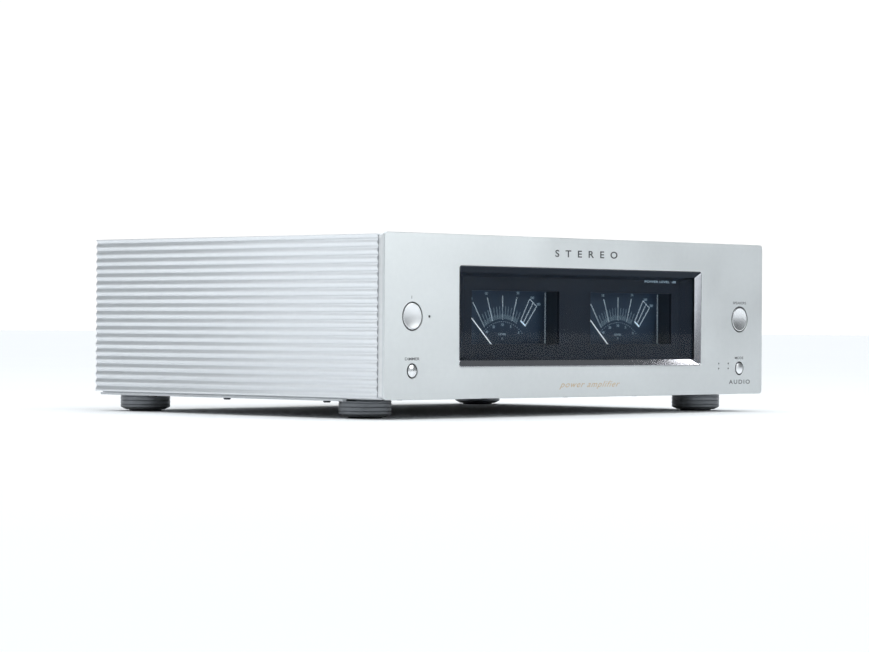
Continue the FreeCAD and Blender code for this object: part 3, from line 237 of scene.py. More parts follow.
# what each finish looks like: colour, tone swing, gloss and the size of its grain
finishes = {
    "panelBlasted": {"grain": "blast", "color": (0.74, 0.77, 0.785), "metal": 1.0, "rough": 0.46,
                     "grainSize": 0.0003, "bump": 0.10, "tone": 0.03, "wear": 0.25, "dust": 0.02},
    "sideAnodised": {"grain": "brush", "color": (0.80, 0.825, 0.85), "metal": 1.0, "rough": 0.5,
                     "grainSize": 0.0004, "stretch": (1.0, 0.02, 1.0), "bump": 0.06, "tone": 0.05,
                     "wear": 0.2, "dust": 0.03},
    "frameAnodised": {"grain": "blast", "color": (0.86, 0.88, 0.89), "metal": 1.0, "rough": 0.5,
                      "grainSize": 0.0003, "bump": 0.1, "tone": 0.04, "wear": 0.2, "dust": 0.03},
    "buttonSpun": {"grain": "blast", "color": (0.82, 0.84, 0.86), "metal": 1.0, "rough": 0.3,
                   "grainSize": 0.0002, "bump": 0.05, "tone": 0.03, "wear": 0.3, "dust": 0.01},
    "bezelPolished": {"grain": "brush", "color": (0.62, 0.63, 0.67), "metal": 1.0, "rough": 0.12,
                      "grainSize": 0.0002, "stretch": (0.02, 1.0, 1.0), "bump": 0.02, "tone": 0.04,
                      "wear": 0.3, "dust": 0.02},
    "coverSatin": {"grain": "blast", "color": (0.46, 0.475, 0.49), "metal": 0.85, "rough": 0.42,
                   "grainSize": 0.0006, "bump": 0.12, "tone": 0.05, "wear": 0.2, "dust": 0.12},
    "trayPainted": {"grain": "blast", "color": (0.60, 0.62, 0.64), "metal": 0.6, "rough": 0.45,
                    "grainSize": 0.0008, "bump": 0.12, "tone": 0.06, "wear": 0.3, "dust": 0.05},
    "rearPainted": {"grain": "blast", "color": (0.030, 0.031, 0.034), "metal": 0.0, "rough": 0.5,
                    "grainSize": 0.0008, "bump": 0.22, "tone": 0.2, "wear": 0.35, "dust": 0.10},
    "footTurned": {"grain": "turned", "color": (0.19, 0.20, 0.215), "metal": 0.85, "rough": 0.40,
                   "grainSize": 0.0005, "bump": 0.10, "tone": 0.18, "wear": 0.4, "dust": 0.04},
    "footRubber": {"grain": "blast", "color": (0.018, 0.018, 0.020), "metal": 0.0, "rough": 0.85,
                   "grainSize": 0.0006, "bump": 0.35, "tone": 0.25, "wear": 0.15, "dust": 0.15},
    "screwBlack": {"grain": "turned", "color": (0.05, 0.05, 0.055), "metal": 0.8, "rough": 0.38,
                   "grainSize": 0.0002, "bump": 0.08, "tone": 0.2, "wear": 0.7, "dust": 0.04},
    "plasticBlack": {"grain": "blast", "color": (0.020, 0.021, 0.024), "metal": 0.0, "rough": 0.55,
                     "grainSize": 0.0004, "bump": 0.25, "tone": 0.2, "wear": 0.2, "dust": 0.08},
    "trimBlack": {"grain": "blast", "color": (0.035, 0.036, 0.040), "metal": 0.0, "rough": 0.4,
                  "grainSize": 0.0003, "bump": 0.1, "tone": 0.15, "wear": 0.3, "dust": 0.05},
    "fasciaBlack": {"grain": "blast", "color": (0.0075, 0.0135, 0.024), "metal": 0.0, "rough": 0.5,
                    "specular": 0.12,
                    "grainSize": 0.0004, "bump": 0.02, "tone": 0.1, "wear": 0.0, "dust": 0.0},
    "dialDark": {"grain": "blast", "color": (0.020, 0.038, 0.066), "metal": 0.0, "rough": 0.5,
                 "specular": 0.12,
                 "grainSize": 0.0005, "bump": 0.08, "tone": 0.12, "wear": 0.0, "dust": 0.0},
    "caseDark": {"grain": "blast", "color": (0.016, 0.028, 0.045), "metal": 0.0, "rough": 0.45,
                 "specular": 0.2,
                 "grainSize": 0.0005, "bump": 0.1, "tone": 0.1, "wear": 0.1, "dust": 0.0},
    # white paint, plus painted light: the needle's glow stands in for the lamps over the dials
    "needlePaintAndPaintedGlow": {"grain": "brush", "color": (0.84, 0.91, 0.96), "metal": 0.0, "rough": 0.35, "glow": 0.45,
                    "grainSize": 0.0003, "stretch": (1.0, 1.0, 0.05), "bump": 0.04, "tone": 0.03,
                    "wear": 0.0, "dust": 0.0},
    "goldPlate": {"grain": "turned", "color": (0.83, 0.60, 0.26), "metal": 1.0, "rough": 0.22,
                  "grainSize": 0.0003, "bump": 0.05, "tone": 0.08, "wear": 0.2, "dust": 0.02},
    "nickelPlate": {"grain": "brush", "color": (0.56, 0.56, 0.58), "metal": 1.0, "rough": 0.28,
                    "grainSize": 0.0003, "stretch": (0.05, 1.0, 1.0), "bump": 0.05, "tone": 0.08,
                    "wear": 0.2, "dust": 0.03},
    "steelPlain": {"grain": "brush", "color": (0.42, 0.43, 0.45), "metal": 1.0, "rough": 0.4,
                   "grainSize": 0.0005, "stretch": (1.0, 0.05, 1.0), "bump": 0.08, "tone": 0.12,
                   "wear": 0.3, "dust": 0.04},
    "sinkBlack": {"grain": "brush", "color": (0.028, 0.028, 0.032), "metal": 0.6, "rough": 0.42,
                  "grainSize": 0.0006, "stretch": (1.0, 1.0, 0.03), "bump": 0.12, "tone": 0.2,
                  "wear": 0.5, "dust": 0.08},
    "windingFilm": {"grain": "turned", "color": (0.62, 0.44, 0.10), "metal": 0.0, "rough": 0.32,
                    "grainSize": 0.002, "bump": 0.4, "tone": 0.3, "wear": 0.1, "dust": 0.05},
    "canSleeve": {"grain": "brush", "color": (0.025, 0.045, 0.12), "metal": 0.0, "rough": 0.3,
                  "grainSize": 0.001, "stretch": (1.0, 1.0, 0.05), "bump": 0.05, "tone": 0.15,
                  "wear": 0.2, "dust": 0.04},
    "boardGreen": {"grain": "brush", "color": (0.02, 0.10, 0.045), "metal": 0.0, "rough": 0.35,
                   "grainSize": 0.0012, "stretch": (1.0, 1.0, 0.4), "bump": 0.1, "tone": 0.4,
                   "wear": 0.1, "dust": 0.05},
}


def makeFinish(name, spec):
    material = bpy.data.materials.new(name)
    material.use_nodes = True
    tree = material.node_tree
    shader = tree.nodes["Principled BSDF"]
    where = addNode(tree, "ShaderNodeTexCoord").outputs["Object"]
    if "middle" in spec:
        centred = addNode(tree, "ShaderNodeMapping", {"vector_type": "POINT"}, {"Vector": where})
        centred.inputs["Location"].default_value = [-value for value in spec["middle"]]
        where = centred.outputs["Vector"]
    groups = {"blast": blastGroup, "brush": brushGroup, "turned": turnedGroup}
    sizes = {"blast": "Grain Size", "brush": "Line Size", "turned": "Ring Size"}
    grain = addNode(tree, "ShaderNodeGroup", {"node_tree": groups[spec["grain"]]}, {"Vector": where})
    grain.inputs[sizes[spec["grain"]]].default_value = spec["grainSize"]
    if "stretch" in spec:
        grain.inputs["Stretch"].default_value = spec["stretch"]
    wear = addNode(tree, "ShaderNodeGroup", {"node_tree": wearGroup}, {"Vector": where})
    dust = addNode(tree, "ShaderNodeGroup", {"node_tree": dustGroup}, {"Vector": where})
    base = spec["color"]
    tone = addNode(tree, "ShaderNodeMapRange", links={"Value": grain.outputs["Tone"]},
                   values={"From Min": -0.5, "From Max": 0.5,
                           "To Min": 1 - spec["tone"], "To Max": 1 + spec["tone"]})
    tinted = addNode(tree, "ShaderNodeVectorMath", {"operation": "SCALE"}, {"Scale": tone.outputs["Result"]},
                     {0: base})
    bright = [min(1.0, value * 1.25 + 0.04) for value in base] + [1]
    edged = addNode(tree, "ShaderNodeMix", {"data_type": "RGBA"})
    tree.links.new(mathNode(tree, "MULTIPLY", wear.outputs["Mask"], spec["wear"]), edged.inputs["Factor"])
    tree.links.new(tinted.outputs[0], edged.inputs[6])
    edged.inputs[7].default_value = bright
    dusty = addNode(tree, "ShaderNodeMix", {"data_type": "RGBA"})
    tree.links.new(mathNode(tree, "MULTIPLY", dust.outputs["Mask"], spec["dust"]), dusty.inputs["Factor"])
    tree.links.new(edged.outputs[2], dusty.inputs[6])
    dusty.inputs[7].default_value = (0.55, 0.54, 0.52, 1)
    tree.links.new(dusty.outputs[2], shader.inputs["Base Color"])
    rougher = mathNode(tree, "MULTIPLY", grain.outputs["Tone"], 0.25)
    worn = mathNode(tree, "MULTIPLY", wear.outputs["Mask"], -0.10)
    total = mathNode(tree, "ADD", mathNode(tree, "ADD", rougher, worn), spec["rough"], True)
    tree.links.new(total, shader.inputs["Roughness"])
    shader.inputs["Metallic"].default_value = spec["metal"]
    shader.inputs["Specular IOR Level"].default_value = spec.get("specular", 0.5)
    bump = addNode(tree, "ShaderNodeBump", links={"Height": grain.outputs["Height"]},
                   values={"Strength": spec["bump"], "Distance": spec["grainSize"] * 0.4})
    tree.links.new(bump.outputs["Normal"], shader.inputs["Normal"])
    if "glow" in spec:  # painted light: emission stands in for the lamps over the dials lighting the surface
        tree.links.new(dusty.outputs[2], shader.inputs["Emission Color"])
        shader.inputs["Emission Strength"].default_value = spec["glow"]
    material.diffuse_color = (*base, 1)
    return material


materials = {name: makeFinish(name, spec) for name, spec in finishes.items()}


def makeGlass():
    material = bpy.data.materials.new("windowGlass")
    material.use_nodes = True
    tree = material.node_tree
    shader = tree.nodes["Principled BSDF"]
    where = addNode(tree, "ShaderNodeTexCoord").outputs["Object"]
    dust = addNode(tree, "ShaderNodeGroup", {"node_tree": dustGroup}, {"Vector": where})
    shader.inputs["Base Color"].default_value = (0.90, 0.94, 0.97, 1)
    shader.inputs["Transmission Weight"].default_value = 1.0
    shader.inputs["IOR"].default_value = 1.01
    shader.inputs["Coat Weight"].default_value = 0.5
    shader.inputs["Coat Roughness"].default_value = 0.02
    shader.inputs["Alpha"].default_value = 0.3
    rough = addNode(tree, "ShaderNodeMapRange", links={"Value": dust.outputs["Mask"]},
                    values={"To Min": 0.0, "To Max": 0.04})
    tree.links.new(rough.outputs["Result"], shader.inputs["Roughness"])
    return material


def makePrint(name, color, rough, glow=0.0):
    material = bpy.data.materials.new(name)
    material.use_nodes = True
    tree = material.node_tree
    shader = tree.nodes["Principled BSDF"]
    where = addNode(tree, "ShaderNodeTexCoord").outputs["Object"]
    grain = addNode(tree, "ShaderNodeGroup", {"node_tree": blastGroup}, {"Vector": where})
    shade = addNode(tree, "ShaderNodeMapRange", links={"Value": grain.outputs["Tone"]},
                    values={"From Min": -0.5, "From Max": 0.5, "To Min": 0.9, "To Max": 1.1})
    tinted = addNode(tree, "ShaderNodeVectorMath", {"operation": "SCALE"}, {"Scale": shade.outputs["Result"]},
                     {0: color})
    tree.links.new(tinted.outputs[0], shader.inputs["Base Color"])
    shader.inputs["Roughness"].default_value = rough
    # painted light: the glow stands in for lamps lighting the print
    if glow:
        tree.links.new(tinted.outputs[0], shader.inputs["Emission Color"])
        shader.inputs["Emission Strength"].default_value = glow
    return material


materials["windowGlass"] = makeGlass()
materials["inkGrey"] = makePrint("inkGrey", (0.11, 0.115, 0.125), 0.5)
materials["inkDark"] = makePrint("inkDark", (0.05, 0.052, 0.058), 0.5)
materials["inkGold"] = makePrint("inkGold", (0.60, 0.45, 0.26), 0.4)
# painted light: the white and dim print glow as if lit by the meter lamps
materials["inkWhitePaintedGlow"] = makePrint("inkWhitePaintedGlow", (0.62, 0.76, 0.86), 0.5, 0.30)
materials["inkDimPaintedGlow"] = makePrint("inkDimPaintedGlow", (0.26, 0.37, 0.46), 0.5, 0.12)
materials["inkRed"] = makePrint("inkRed", (0.55, 0.05, 0.04), 0.4)
materials["inkBlack"] = makePrint("inkBlack", (0.02, 0.02, 0.022), 0.4)
print("finishes made:", len(materials))


# shapes
plateFace = 5e-5  # a face larger than this, in square metres, belongs to a flat plate
weldGap = 2e-6
inkGap = 0.02 * mm  # printing stands this far off its surface


def showMesh(name, mesh, material, body, replaced=()):
    piece = bpy.data.objects.new(name, mesh)
    bpy.context.collection.objects.link(piece)
    mesh.materials.clear()
    mesh.materials.append(materials[material])
    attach(piece, body)
    if replaced:
        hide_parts(*replaced)
    return piece


def shadeByAngle(mesh, degrees=32, flatArea=1.0):
    # faces larger than flatArea are plates, not facets of a curve, and stay flat
    mesh.polygons.foreach_set("use_smooth", [
        len(face.vertices) < 5 and face.area < flatArea for face in mesh.polygons])
    mesh.set_sharp_from_angle(angle=math.radians(degrees))
    return mesh


def plainMesh(source):
    bpy.context.view_layer.update()
    graph = bpy.context.evaluated_depsgraph_get()
    mesh = bpy.data.meshes.new_from_object(source.evaluated_get(graph))
    mesh.transform(source.matrix_world)
    bpy.data.objects.remove(source)
    return mesh


def arcPoints(centreX, centreZ, radius, start, end, steps):
    points = []
    for step in range(steps + 1):
        angle = math.radians(start + (end - start) * step / steps)
        points.append((centreX + radius * math.cos(angle), centreZ + radius * math.sin(angle)))
    return points


def roundedOutline(xSpan, zSpan, radius, steps=8):
    lowX, highX = xSpan
    lowZ, highZ = zSpan
    points = arcPoints(highX - radius, lowZ + radius, radius, -90, 0, steps)
    points += arcPoints(highX - radius, highZ - radius, radius, 0, 90, steps)
    points += arcPoints(lowX + radius, highZ - radius, radius, 90, 180, steps)
    points += arcPoints(lowX + radius, lowZ + radius, radius, 180, 270, steps)
    return points


def circleOutline(x, z, radius, steps=72):
    return arcPoints(x, z, radius, 0, 360 - 360 / steps, steps - 1)


def cleanMesh(mesh, weld=None):
    # welds close corners when asked, and turns every face outwards
    tidy = bmesh.new()
    tidy.from_mesh(mesh)
    if weld:
        bmesh.ops.remove_doubles(tidy, verts=tidy.verts, dist=weld)
    bmesh.ops.recalc_face_normals(tidy, faces=tidy.faces)
    tidy.to_mesh(mesh)
    tidy.free()


def platePiece(outline, holes, front, back, bevel):
    # a plate seen from the front: filled outline with holes, its edges broken by a small chamfer
    data = bpy.data.curves.new("plate", "CURVE")
    data.dimensions = "2D"
    data.fill_mode = "BOTH"
    for points in [outline] + [list(reversed(hole)) for hole in holes]:
        spline = data.splines.new("POLY")
        spline.points.add(len(points) - 1)
        for point, (x, z) in zip(spline.points, points):
            point.co = (x, z, 0, 1)
        spline.use_cyclic_u = True
    data.extrude = (back - front) / 2 - bevel
    data.bevel_depth = bevel
    data.bevel_resolution = 1
    data.offset = -bevel
    plate = bpy.data.objects.new("plate", data)
    bpy.context.collection.objects.link(plate)
    plate.matrix_world = Matrix.Translation((0, (front + back) / 2, 0)) @ Matrix.Rotation(math.pi / 2, 4, "X")
    mesh = plainMesh(plate)
    cleanMesh(mesh, 1e-6)
    return shadeByAngle(mesh, 18, plateFace)


def turnedMesh(outline, centre, along, segments=96):
    # outline is (radius, distance along the axis) from one end round to the other
    shape = bmesh.new()
    axis = Vector(along).normalized()
    side = Vector((1, 0, 0)) if abs(axis.x) < 0.5 else Vector((0, 0, 1))
    other = axis.cross(side)
    rows = []
    for radius, distance in outline:
        row = []
        middle = Vector(centre) + axis * distance
        if radius < 1e-7:
            row = [shape.verts.new(middle)]
        else:
            for index in range(segments):
                angle = 2 * math.pi * index / segments
                outward = side * math.cos(angle) + other * math.sin(angle)
                row.append(shape.verts.new(middle + outward * radius))
        rows.append(row)
    for lower, upper in zip(rows, rows[1:]):
        for index in range(segments):
            following = (index + 1) % segments
            corners = []
            for vert in (lower[index % len(lower)], lower[following % len(lower)],
                         upper[following % len(upper)], upper[index % len(upper)]):
                if vert not in corners:
                    corners.append(vert)
            if len(corners) > 2:
                shape.faces.new(corners)
    if len(rows[0]) > 1 and len(rows[-1]) > 1:
        for index in range(segments):  # a ring: the last row joins the first
            following = (index + 1) % segments
            shape.faces.new((rows[-1][index], rows[-1][following], rows[0][following], rows[0][index]))
    bmesh.ops.recalc_face_normals(shape, faces=shape.faces)
    mesh = bpy.data.meshes.new("turned")
    shape.to_mesh(mesh)
    shape.free()
    return shadeByAngle(mesh)


def joinMeshes(meshes):
    merged = bmesh.new()
    for mesh in meshes:
        merged.from_mesh(mesh)
    result = bpy.data.meshes.new("joined")
    merged.to_mesh(result)
    merged.free()
    return result


def softCopy(node, bevel, segments=2, angle=35):
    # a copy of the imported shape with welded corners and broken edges
    source = frame["nodes"][node]
    mesh = bpy.data.meshes.new(node + "_copy")
    tidy = bmesh.new()
    tidy.from_mesh(source.data)
    bmesh.ops.remove_doubles(tidy, verts=tidy.verts, dist=weldGap)
    bmesh.ops.dissolve_limit(tidy, angle_limit=math.radians(0.5), verts=tidy.verts, edges=tidy.edges)
    tidy.to_mesh(mesh)
    tidy.free()
    packedNormals = mesh.attributes.get("custom_normal")
    if packedNormals:  # they no longer fit once corners are welded and edges broken
        mesh.attributes.remove(packedNormals)
    holder = bpy.data.objects.new("holder", mesh)
    bpy.context.collection.objects.link(holder)
    worn = holder.modifiers.new("edges", "BEVEL")
    worn.width = bevel
    worn.segments = segments
    worn.limit_method = "ANGLE"
    worn.angle_limit = math.radians(angle)
    worn.use_clamp_overlap = True
    return shadeByAngle(plainMesh(holder), 21, plateFace)


def newTree(name, inputs, withShape=False):
    # a tree with its named inputs, sizes first and the finish last
    tree = bpy.data.node_groups.new(name, "GeometryNodeTree")
    if withShape:
        tree.interface.new_socket(name="Geometry", in_out="INPUT", socket_type="NodeSocketGeometry")
    for label, kind, value in inputs:
        socket = tree.interface.new_socket(name=label, in_out="INPUT", socket_type="NodeSocket" + kind)
        if value is not None:
            socket.default_value = value
    tree.interface.new_socket(name="Finish", in_out="INPUT", socket_type="NodeSocketMaterial")
    tree.interface.new_socket(name="Geometry", in_out="OUTPUT", socket_type="NodeSocketGeometry")
    return tree, tree.nodes.new("NodeGroupInput"), tree.nodes.new("NodeGroupOutput")


def endTree(tree, end, shape, finish):
    real = addNode(tree, "GeometryNodeRealizeInstances", links={"Geometry": shape})
    coloured = addNode(tree, "GeometryNodeSetMaterial", links={"Geometry": real.outputs["Geometry"],
                                                               "Material": finish})
    tree.links.new(coloured.outputs["Geometry"], end.inputs["Geometry"])
    return tree


def makeCopiesTree():
    # one copy of a sample on every point, each turned and stretched by its own two values
    tree, start, end = newTree("copiesAtPoints", [("Sample", "Object", None)], True)
    sample = addNode(tree, "GeometryNodeObjectInfo", links={"Object": start.outputs["Sample"]})
    turn = addNode(tree, "GeometryNodeInputNamedAttribute", {"data_type": "FLOAT_VECTOR"},
                   values={"Name": "turn"})
    stretch = addNode(tree, "GeometryNodeInputNamedAttribute", {"data_type": "FLOAT_VECTOR"},
                      values={"Name": "stretch"})
    rotation = addNode(tree, "FunctionNodeEulerToRotation", links={"Euler": turn.outputs["Attribute"]})
    copies = addNode(tree, "GeometryNodeInstanceOnPoints", links={
        "Points": start.outputs["Geometry"], "Instance": sample.outputs["Geometry"],
        "Rotation": rotation.outputs["Rotation"], "Scale": stretch.outputs["Attribute"]})
    return endTree(tree, end, copies.outputs["Instances"], start.outputs["Finish"])


def makeFanTree():
    # short lines standing on an arc, evenly spread between two angles from upright
    tree, start, end = newTree("tickFan", [
        ("Inner Radius", "Float", 0.035), ("Outer Radius", "Float", 0.05), ("Width", "Float", 0.0003),
        ("First Angle", "Float", -0.6), ("Last Angle", "Float", 0.6), ("Count", "Int", 11),
        ("Centre", "Vector", (0, 0, 0))])
    given = start.outputs
    length = mathNode(tree, "SUBTRACT", given["Outer Radius"], given["Inner Radius"])
    bothRadii = mathNode(tree, "ADD", given["Outer Radius"], given["Inner Radius"])
    middle = mathNode(tree, "MULTIPLY", bothRadii, 0.5)
    line = addNode(tree, "GeometryNodeMeshGrid", values={"Vertices X": 2, "Vertices Y": 2},
                   links={"Size X": length, "Size Y": given["Width"]})
    outward = addNode(tree, "ShaderNodeCombineXYZ", links={"X": middle})
    facing = addNode(tree, "GeometryNodeTransform", links={
        "Geometry": line.outputs["Mesh"], "Translation": outward.outputs[0]})
    facing.inputs["Rotation"].default_value = (math.pi / 2, 0, 0)
    points = addNode(tree, "GeometryNodeMeshLine", links={"Count": given["Count"]})
    points.inputs["Offset"].default_value = (0, 0, 0)
    index = addNode(tree, "GeometryNodeInputIndex").outputs[0]
    gaps = mathNode(tree, "SUBTRACT", given["Count"], 1.0)
    step = mathNode(tree, "DIVIDE", mathNode(tree, "SUBTRACT", given["Last Angle"], given["First Angle"]), gaps)
    angle = mathNode(tree, "ADD", mathNode(tree, "MULTIPLY", index, step), given["First Angle"])
    lean = mathNode(tree, "SUBTRACT", angle, math.pi / 2)
    euler = addNode(tree, "ShaderNodeCombineXYZ", links={"Y": lean})
    rotation = addNode(tree, "FunctionNodeEulerToRotation", links={"Euler": euler.outputs[0]})
    copies = addNode(tree, "GeometryNodeInstanceOnPoints", links={
        "Points": points.outputs["Mesh"], "Instance": facing.outputs["Geometry"],
        "Rotation": rotation.outputs["Rotation"]})
    placed = addNode(tree, "GeometryNodeTransform", links={
        "Geometry": copies.outputs["Instances"], "Translation": given["Centre"]})
    return endTree(tree, end, placed.outputs["Geometry"], given["Finish"])


def makeRibTree():
    # a long bar with rows of round ribs outside; the rest of its outline comes in as points
    tree, start, end = newTree("ribbedSide", [
        ("Ribs", "Int", 20), ("Steps", "Int", 12), ("Top", "Float", 0.1), ("Pitch", "Float", 0.0058),
        ("Outside", "Float", -0.2), ("Depth", "Float", 0.0011), ("Length", "Float", 0.3),
        ("Back", "Float", 0.15)], True)
    given = start.outputs
    waveCount = mathNode(tree, "ADD", mathNode(tree, "MULTIPLY", given["Ribs"], given["Steps"]), 1.0)
    size = addNode(tree, "GeometryNodeAttributeDomainSize", {"component": "MESH"},
                   {"Geometry": given["Geometry"]})
    total = mathNode(tree, "ADD", waveCount, size.outputs["Point Count"])
    chain = addNode(tree, "GeometryNodeMeshLine", links={"Count": total})
    index = addNode(tree, "GeometryNodeInputIndex").outputs[0]
    turns = mathNode(tree, "DIVIDE", index, given["Steps"])
    swing = mathNode(tree, "COSINE", mathNode(tree, "MULTIPLY", turns, 2 * math.pi), 0.0)
    cosineShare = mathNode(tree, "MULTIPLY", mathNode(tree, "SUBTRACT", 1.0, swing), 0.5)
    inward = mathNode(tree, "POWER", cosineShare, 1.6)  # wide crests, narrow grooves
    waveX = mathNode(tree, "ADD", mathNode(tree, "MULTIPLY", inward, given["Depth"]), given["Outside"])
    waveZ = mathNode(tree, "SUBTRACT", given["Top"], mathNode(tree, "MULTIPLY", turns, given["Pitch"]))
    wave = addNode(tree, "ShaderNodeCombineXYZ", links={"X": waveX, "Y": waveZ})
    place = addNode(tree, "GeometryNodeInputPosition").outputs[0]
    rest = addNode(tree, "GeometryNodeSampleIndex", {"data_type": "FLOAT_VECTOR"}, {
        "Geometry": given["Geometry"], "Value": place, "Index": mathNode(tree, "SUBTRACT", index, waveCount)})
    onRest = addNode(tree, "FunctionNodeCompare", {"operation": "GREATER_EQUAL"}, {"A": index, "B": waveCount})
    choice = addNode(tree, "GeometryNodeSwitch", {"input_type": "VECTOR"}, {
        "Switch": onRest.outputs[0], "False": wave.outputs[0], "True": rest.outputs[0]})
    shaped = addNode(tree, "GeometryNodeSetPosition", links={
        "Geometry": chain.outputs["Mesh"], "Position": choice.outputs[0]})
    curve = addNode(tree, "GeometryNodeMeshToCurve", links={"Mesh": shaped.outputs["Geometry"]})
    closed = addNode(tree, "GeometryNodeSetSplineCyclic", links={"Geometry": curve.outputs["Curve"]},
                     values={"Cyclic": True})
    face = addNode(tree, "GeometryNodeFillCurve", {"mode": "NGONS"}, {"Curve": closed.outputs["Geometry"]})
    along = addNode(tree, "ShaderNodeCombineXYZ", links={"Z": given["Length"]})
    body = addNode(tree, "GeometryNodeExtrudeMesh", {"mode": "FACES"},
                   {"Mesh": face.outputs["Mesh"], "Offset": along.outputs[0]},
                   {"Offset Scale": 1.0, "Individual": False})
    other = addNode(tree, "GeometryNodeFlipFaces", links={"Mesh": face.outputs["Mesh"]})
    both = addNode(tree, "GeometryNodeJoinGeometry")
    tree.links.new(body.outputs["Mesh"], both.inputs["Geometry"])
    tree.links.new(other.outputs["Mesh"], both.inputs["Geometry"])
    welded = addNode(tree, "GeometryNodeMergeByDistance", links={"Geometry": both.outputs["Geometry"]},
                     values={"Distance": 1e-6})
    back = addNode(tree, "ShaderNodeCombineXYZ", links={"Y": given["Back"]})
    stood = addNode(tree, "GeometryNodeTransform", links={
        "Geometry": welded.outputs["Geometry"], "Translation": back.outputs[0]})
    stood.inputs["Rotation"].default_value = (math.pi / 2, 0, 0)
    return endTree(tree, end, stood.outputs["Geometry"], given["Finish"])


def runTree(tree, values, mesh=None):
    holder = bpy.data.objects.new("holder", mesh or bpy.data.meshes.new("empty"))
    bpy.context.collection.objects.link(holder)
    modifier = holder.modifiers.new("made", "NODES")
    modifier.node_group = tree
    for item in tree.interface.items_tree:
        if item.item_type == "SOCKET" and item.in_out == "INPUT" and item.name in values:
            modifier[item.identifier] = values[item.name]
    return plainMesh(holder)


def copiesOf(sampleMesh, places, material):
    # places: (where, turn, stretch) for each copy
    sample = bpy.data.objects.new("sample", sampleMesh)
    bpy.context.collection.objects.link(sample)
    points = bpy.data.meshes.new("points")
    points.from_pydata([place[0] for place in places], [], [])
    for label, position in (("turn", 1), ("stretch", 2)):
        values = points.attributes.new(label, "FLOAT_VECTOR", "POINT")
        for index, place in enumerate(places):
            values.data[index].vector = place[position] if len(place) > position else (0, 0, 0)
    mesh = runTree(copiesTree, {"Sample": sample, "Finish": materials[material]}, points)
    bpy.data.objects.remove(sample)
    return mesh


copiesTree = makeCopiesTree()
fanTree = makeFanTree()
ribTree = makeRibTree()


def textMesh(text, centreX, centreZ, width, height, y, lean=0.0, rear=False, spacing=1.0, thicker=0.012):
    data = bpy.data.curves.new("text", "FONT")
    data.body = text
    data.align_x = "CENTER"
    data.shear = lean
    data.space_character = spacing
    data.resolution_u = 4
    data.offset = thicker
    letters = bpy.data.objects.new("text", data)
    bpy.context.collection.objects.link(letters)
    mesh = plainMesh(letters)
    low = [min(v.co[i] for v in mesh.vertices) for i in (0, 1)]
    high = [max(v.co[i] for v in mesh.vertices) for i in (0, 1)]
    middle = Vector(((low[0] + high[0]) / 2, (low[1] + high[1]) / 2, 0))
    scaleX = width / (high[0] - low[0])
    scaleY = height / (high[1] - low[1])
    side = -1 if rear else 1
    for vertex in mesh.vertices:
        local = vertex.co - middle
        vertex.co = (centreX + side * local.x * scaleX, y, centreZ + local.y * scaleY)
    return mesh


# front panel: one thick plate with blasted finish and soft edges
panelSpec = {"corner": 3.2 * mm, "edge": 0.35 * mm, "windowGap": 0.1 * mm, "windowCorner": 2.3 * mm}
buttonSpec = {
    "power": {"node": "power_button", "body": "power_key", "crown": -0.7 * mm, "big": True},
    "dimmer": {"node": "dimmer_button", "body": "dimmer_key", "crown": 0.7 * mm, "big": False},
    "speaker": {"node": "speaker_button", "body": "speaker_key", "crown": -0.7 * mm, "big": True},
    "mode": {"node": "mode_button", "body": "mode_key", "crown": 0.7 * mm, "big": False},
}
capRadius = {True: 9.5 * mm, False: 4.5 * mm}
ringOuter = {True: 10.4 * mm, False: 5.4 * mm}
capEdge = {True: 0.35 * mm, False: 0.3 * mm}
lensPlaces = [(-171.0 * mm, 74.2 * mm, 0.9 * mm)]
lensPlaces += [(x * mm, z * mm, 0.6 * mm) for x in (162.1, 174.2) for z in (38.8, 34.8)]


def makePanel(spec):
    outline = roundedOutline((panelLow[0], panelHigh[0]), (panelLow[2], panelHigh[2]), spec["corner"])
    gap = spec["windowGap"]
    holes = [roundedOutline((windowX[0] - gap, windowX[1] + gap), (windowZ[0] - gap, windowZ[1] + gap),
                            spec["windowCorner"])]
    for button in buttonSpec.values():
        middle = boxMiddle(button["node"])
        holes.append(circleOutline(middle.x, middle.z, ringOuter[button["big"]] + gap))
    for x, z, radius in lensPlaces:
        holes.append(circleOutline(x, z, radius + gap, 24))
    mesh = platePiece(outline, holes, panelLow[1], panelHigh[1], spec["edge"])
    showMesh("front_plate", mesh, "panelBlasted", "chassis", ["front_panel"])


windowX = (-139.7 * mm, 139.7 * mm)
windowZ = (37.35 * mm, 111.65 * mm)
makePanel(panelSpec)
print("front plate made")

# side panels: the ribs follow one rule, so they are grown from it
sideSpec = {"ribs": 20, "steps": 14, "depth": 1.1 * mm, "lip": 1.2 * mm, "wall": 5.0 * mm,
            "ledgeWidth": 13.0 * mm, "ledgeThick": 5.6 * mm, "coverThick": 1.9 * mm, "edge": 0.18 * mm}


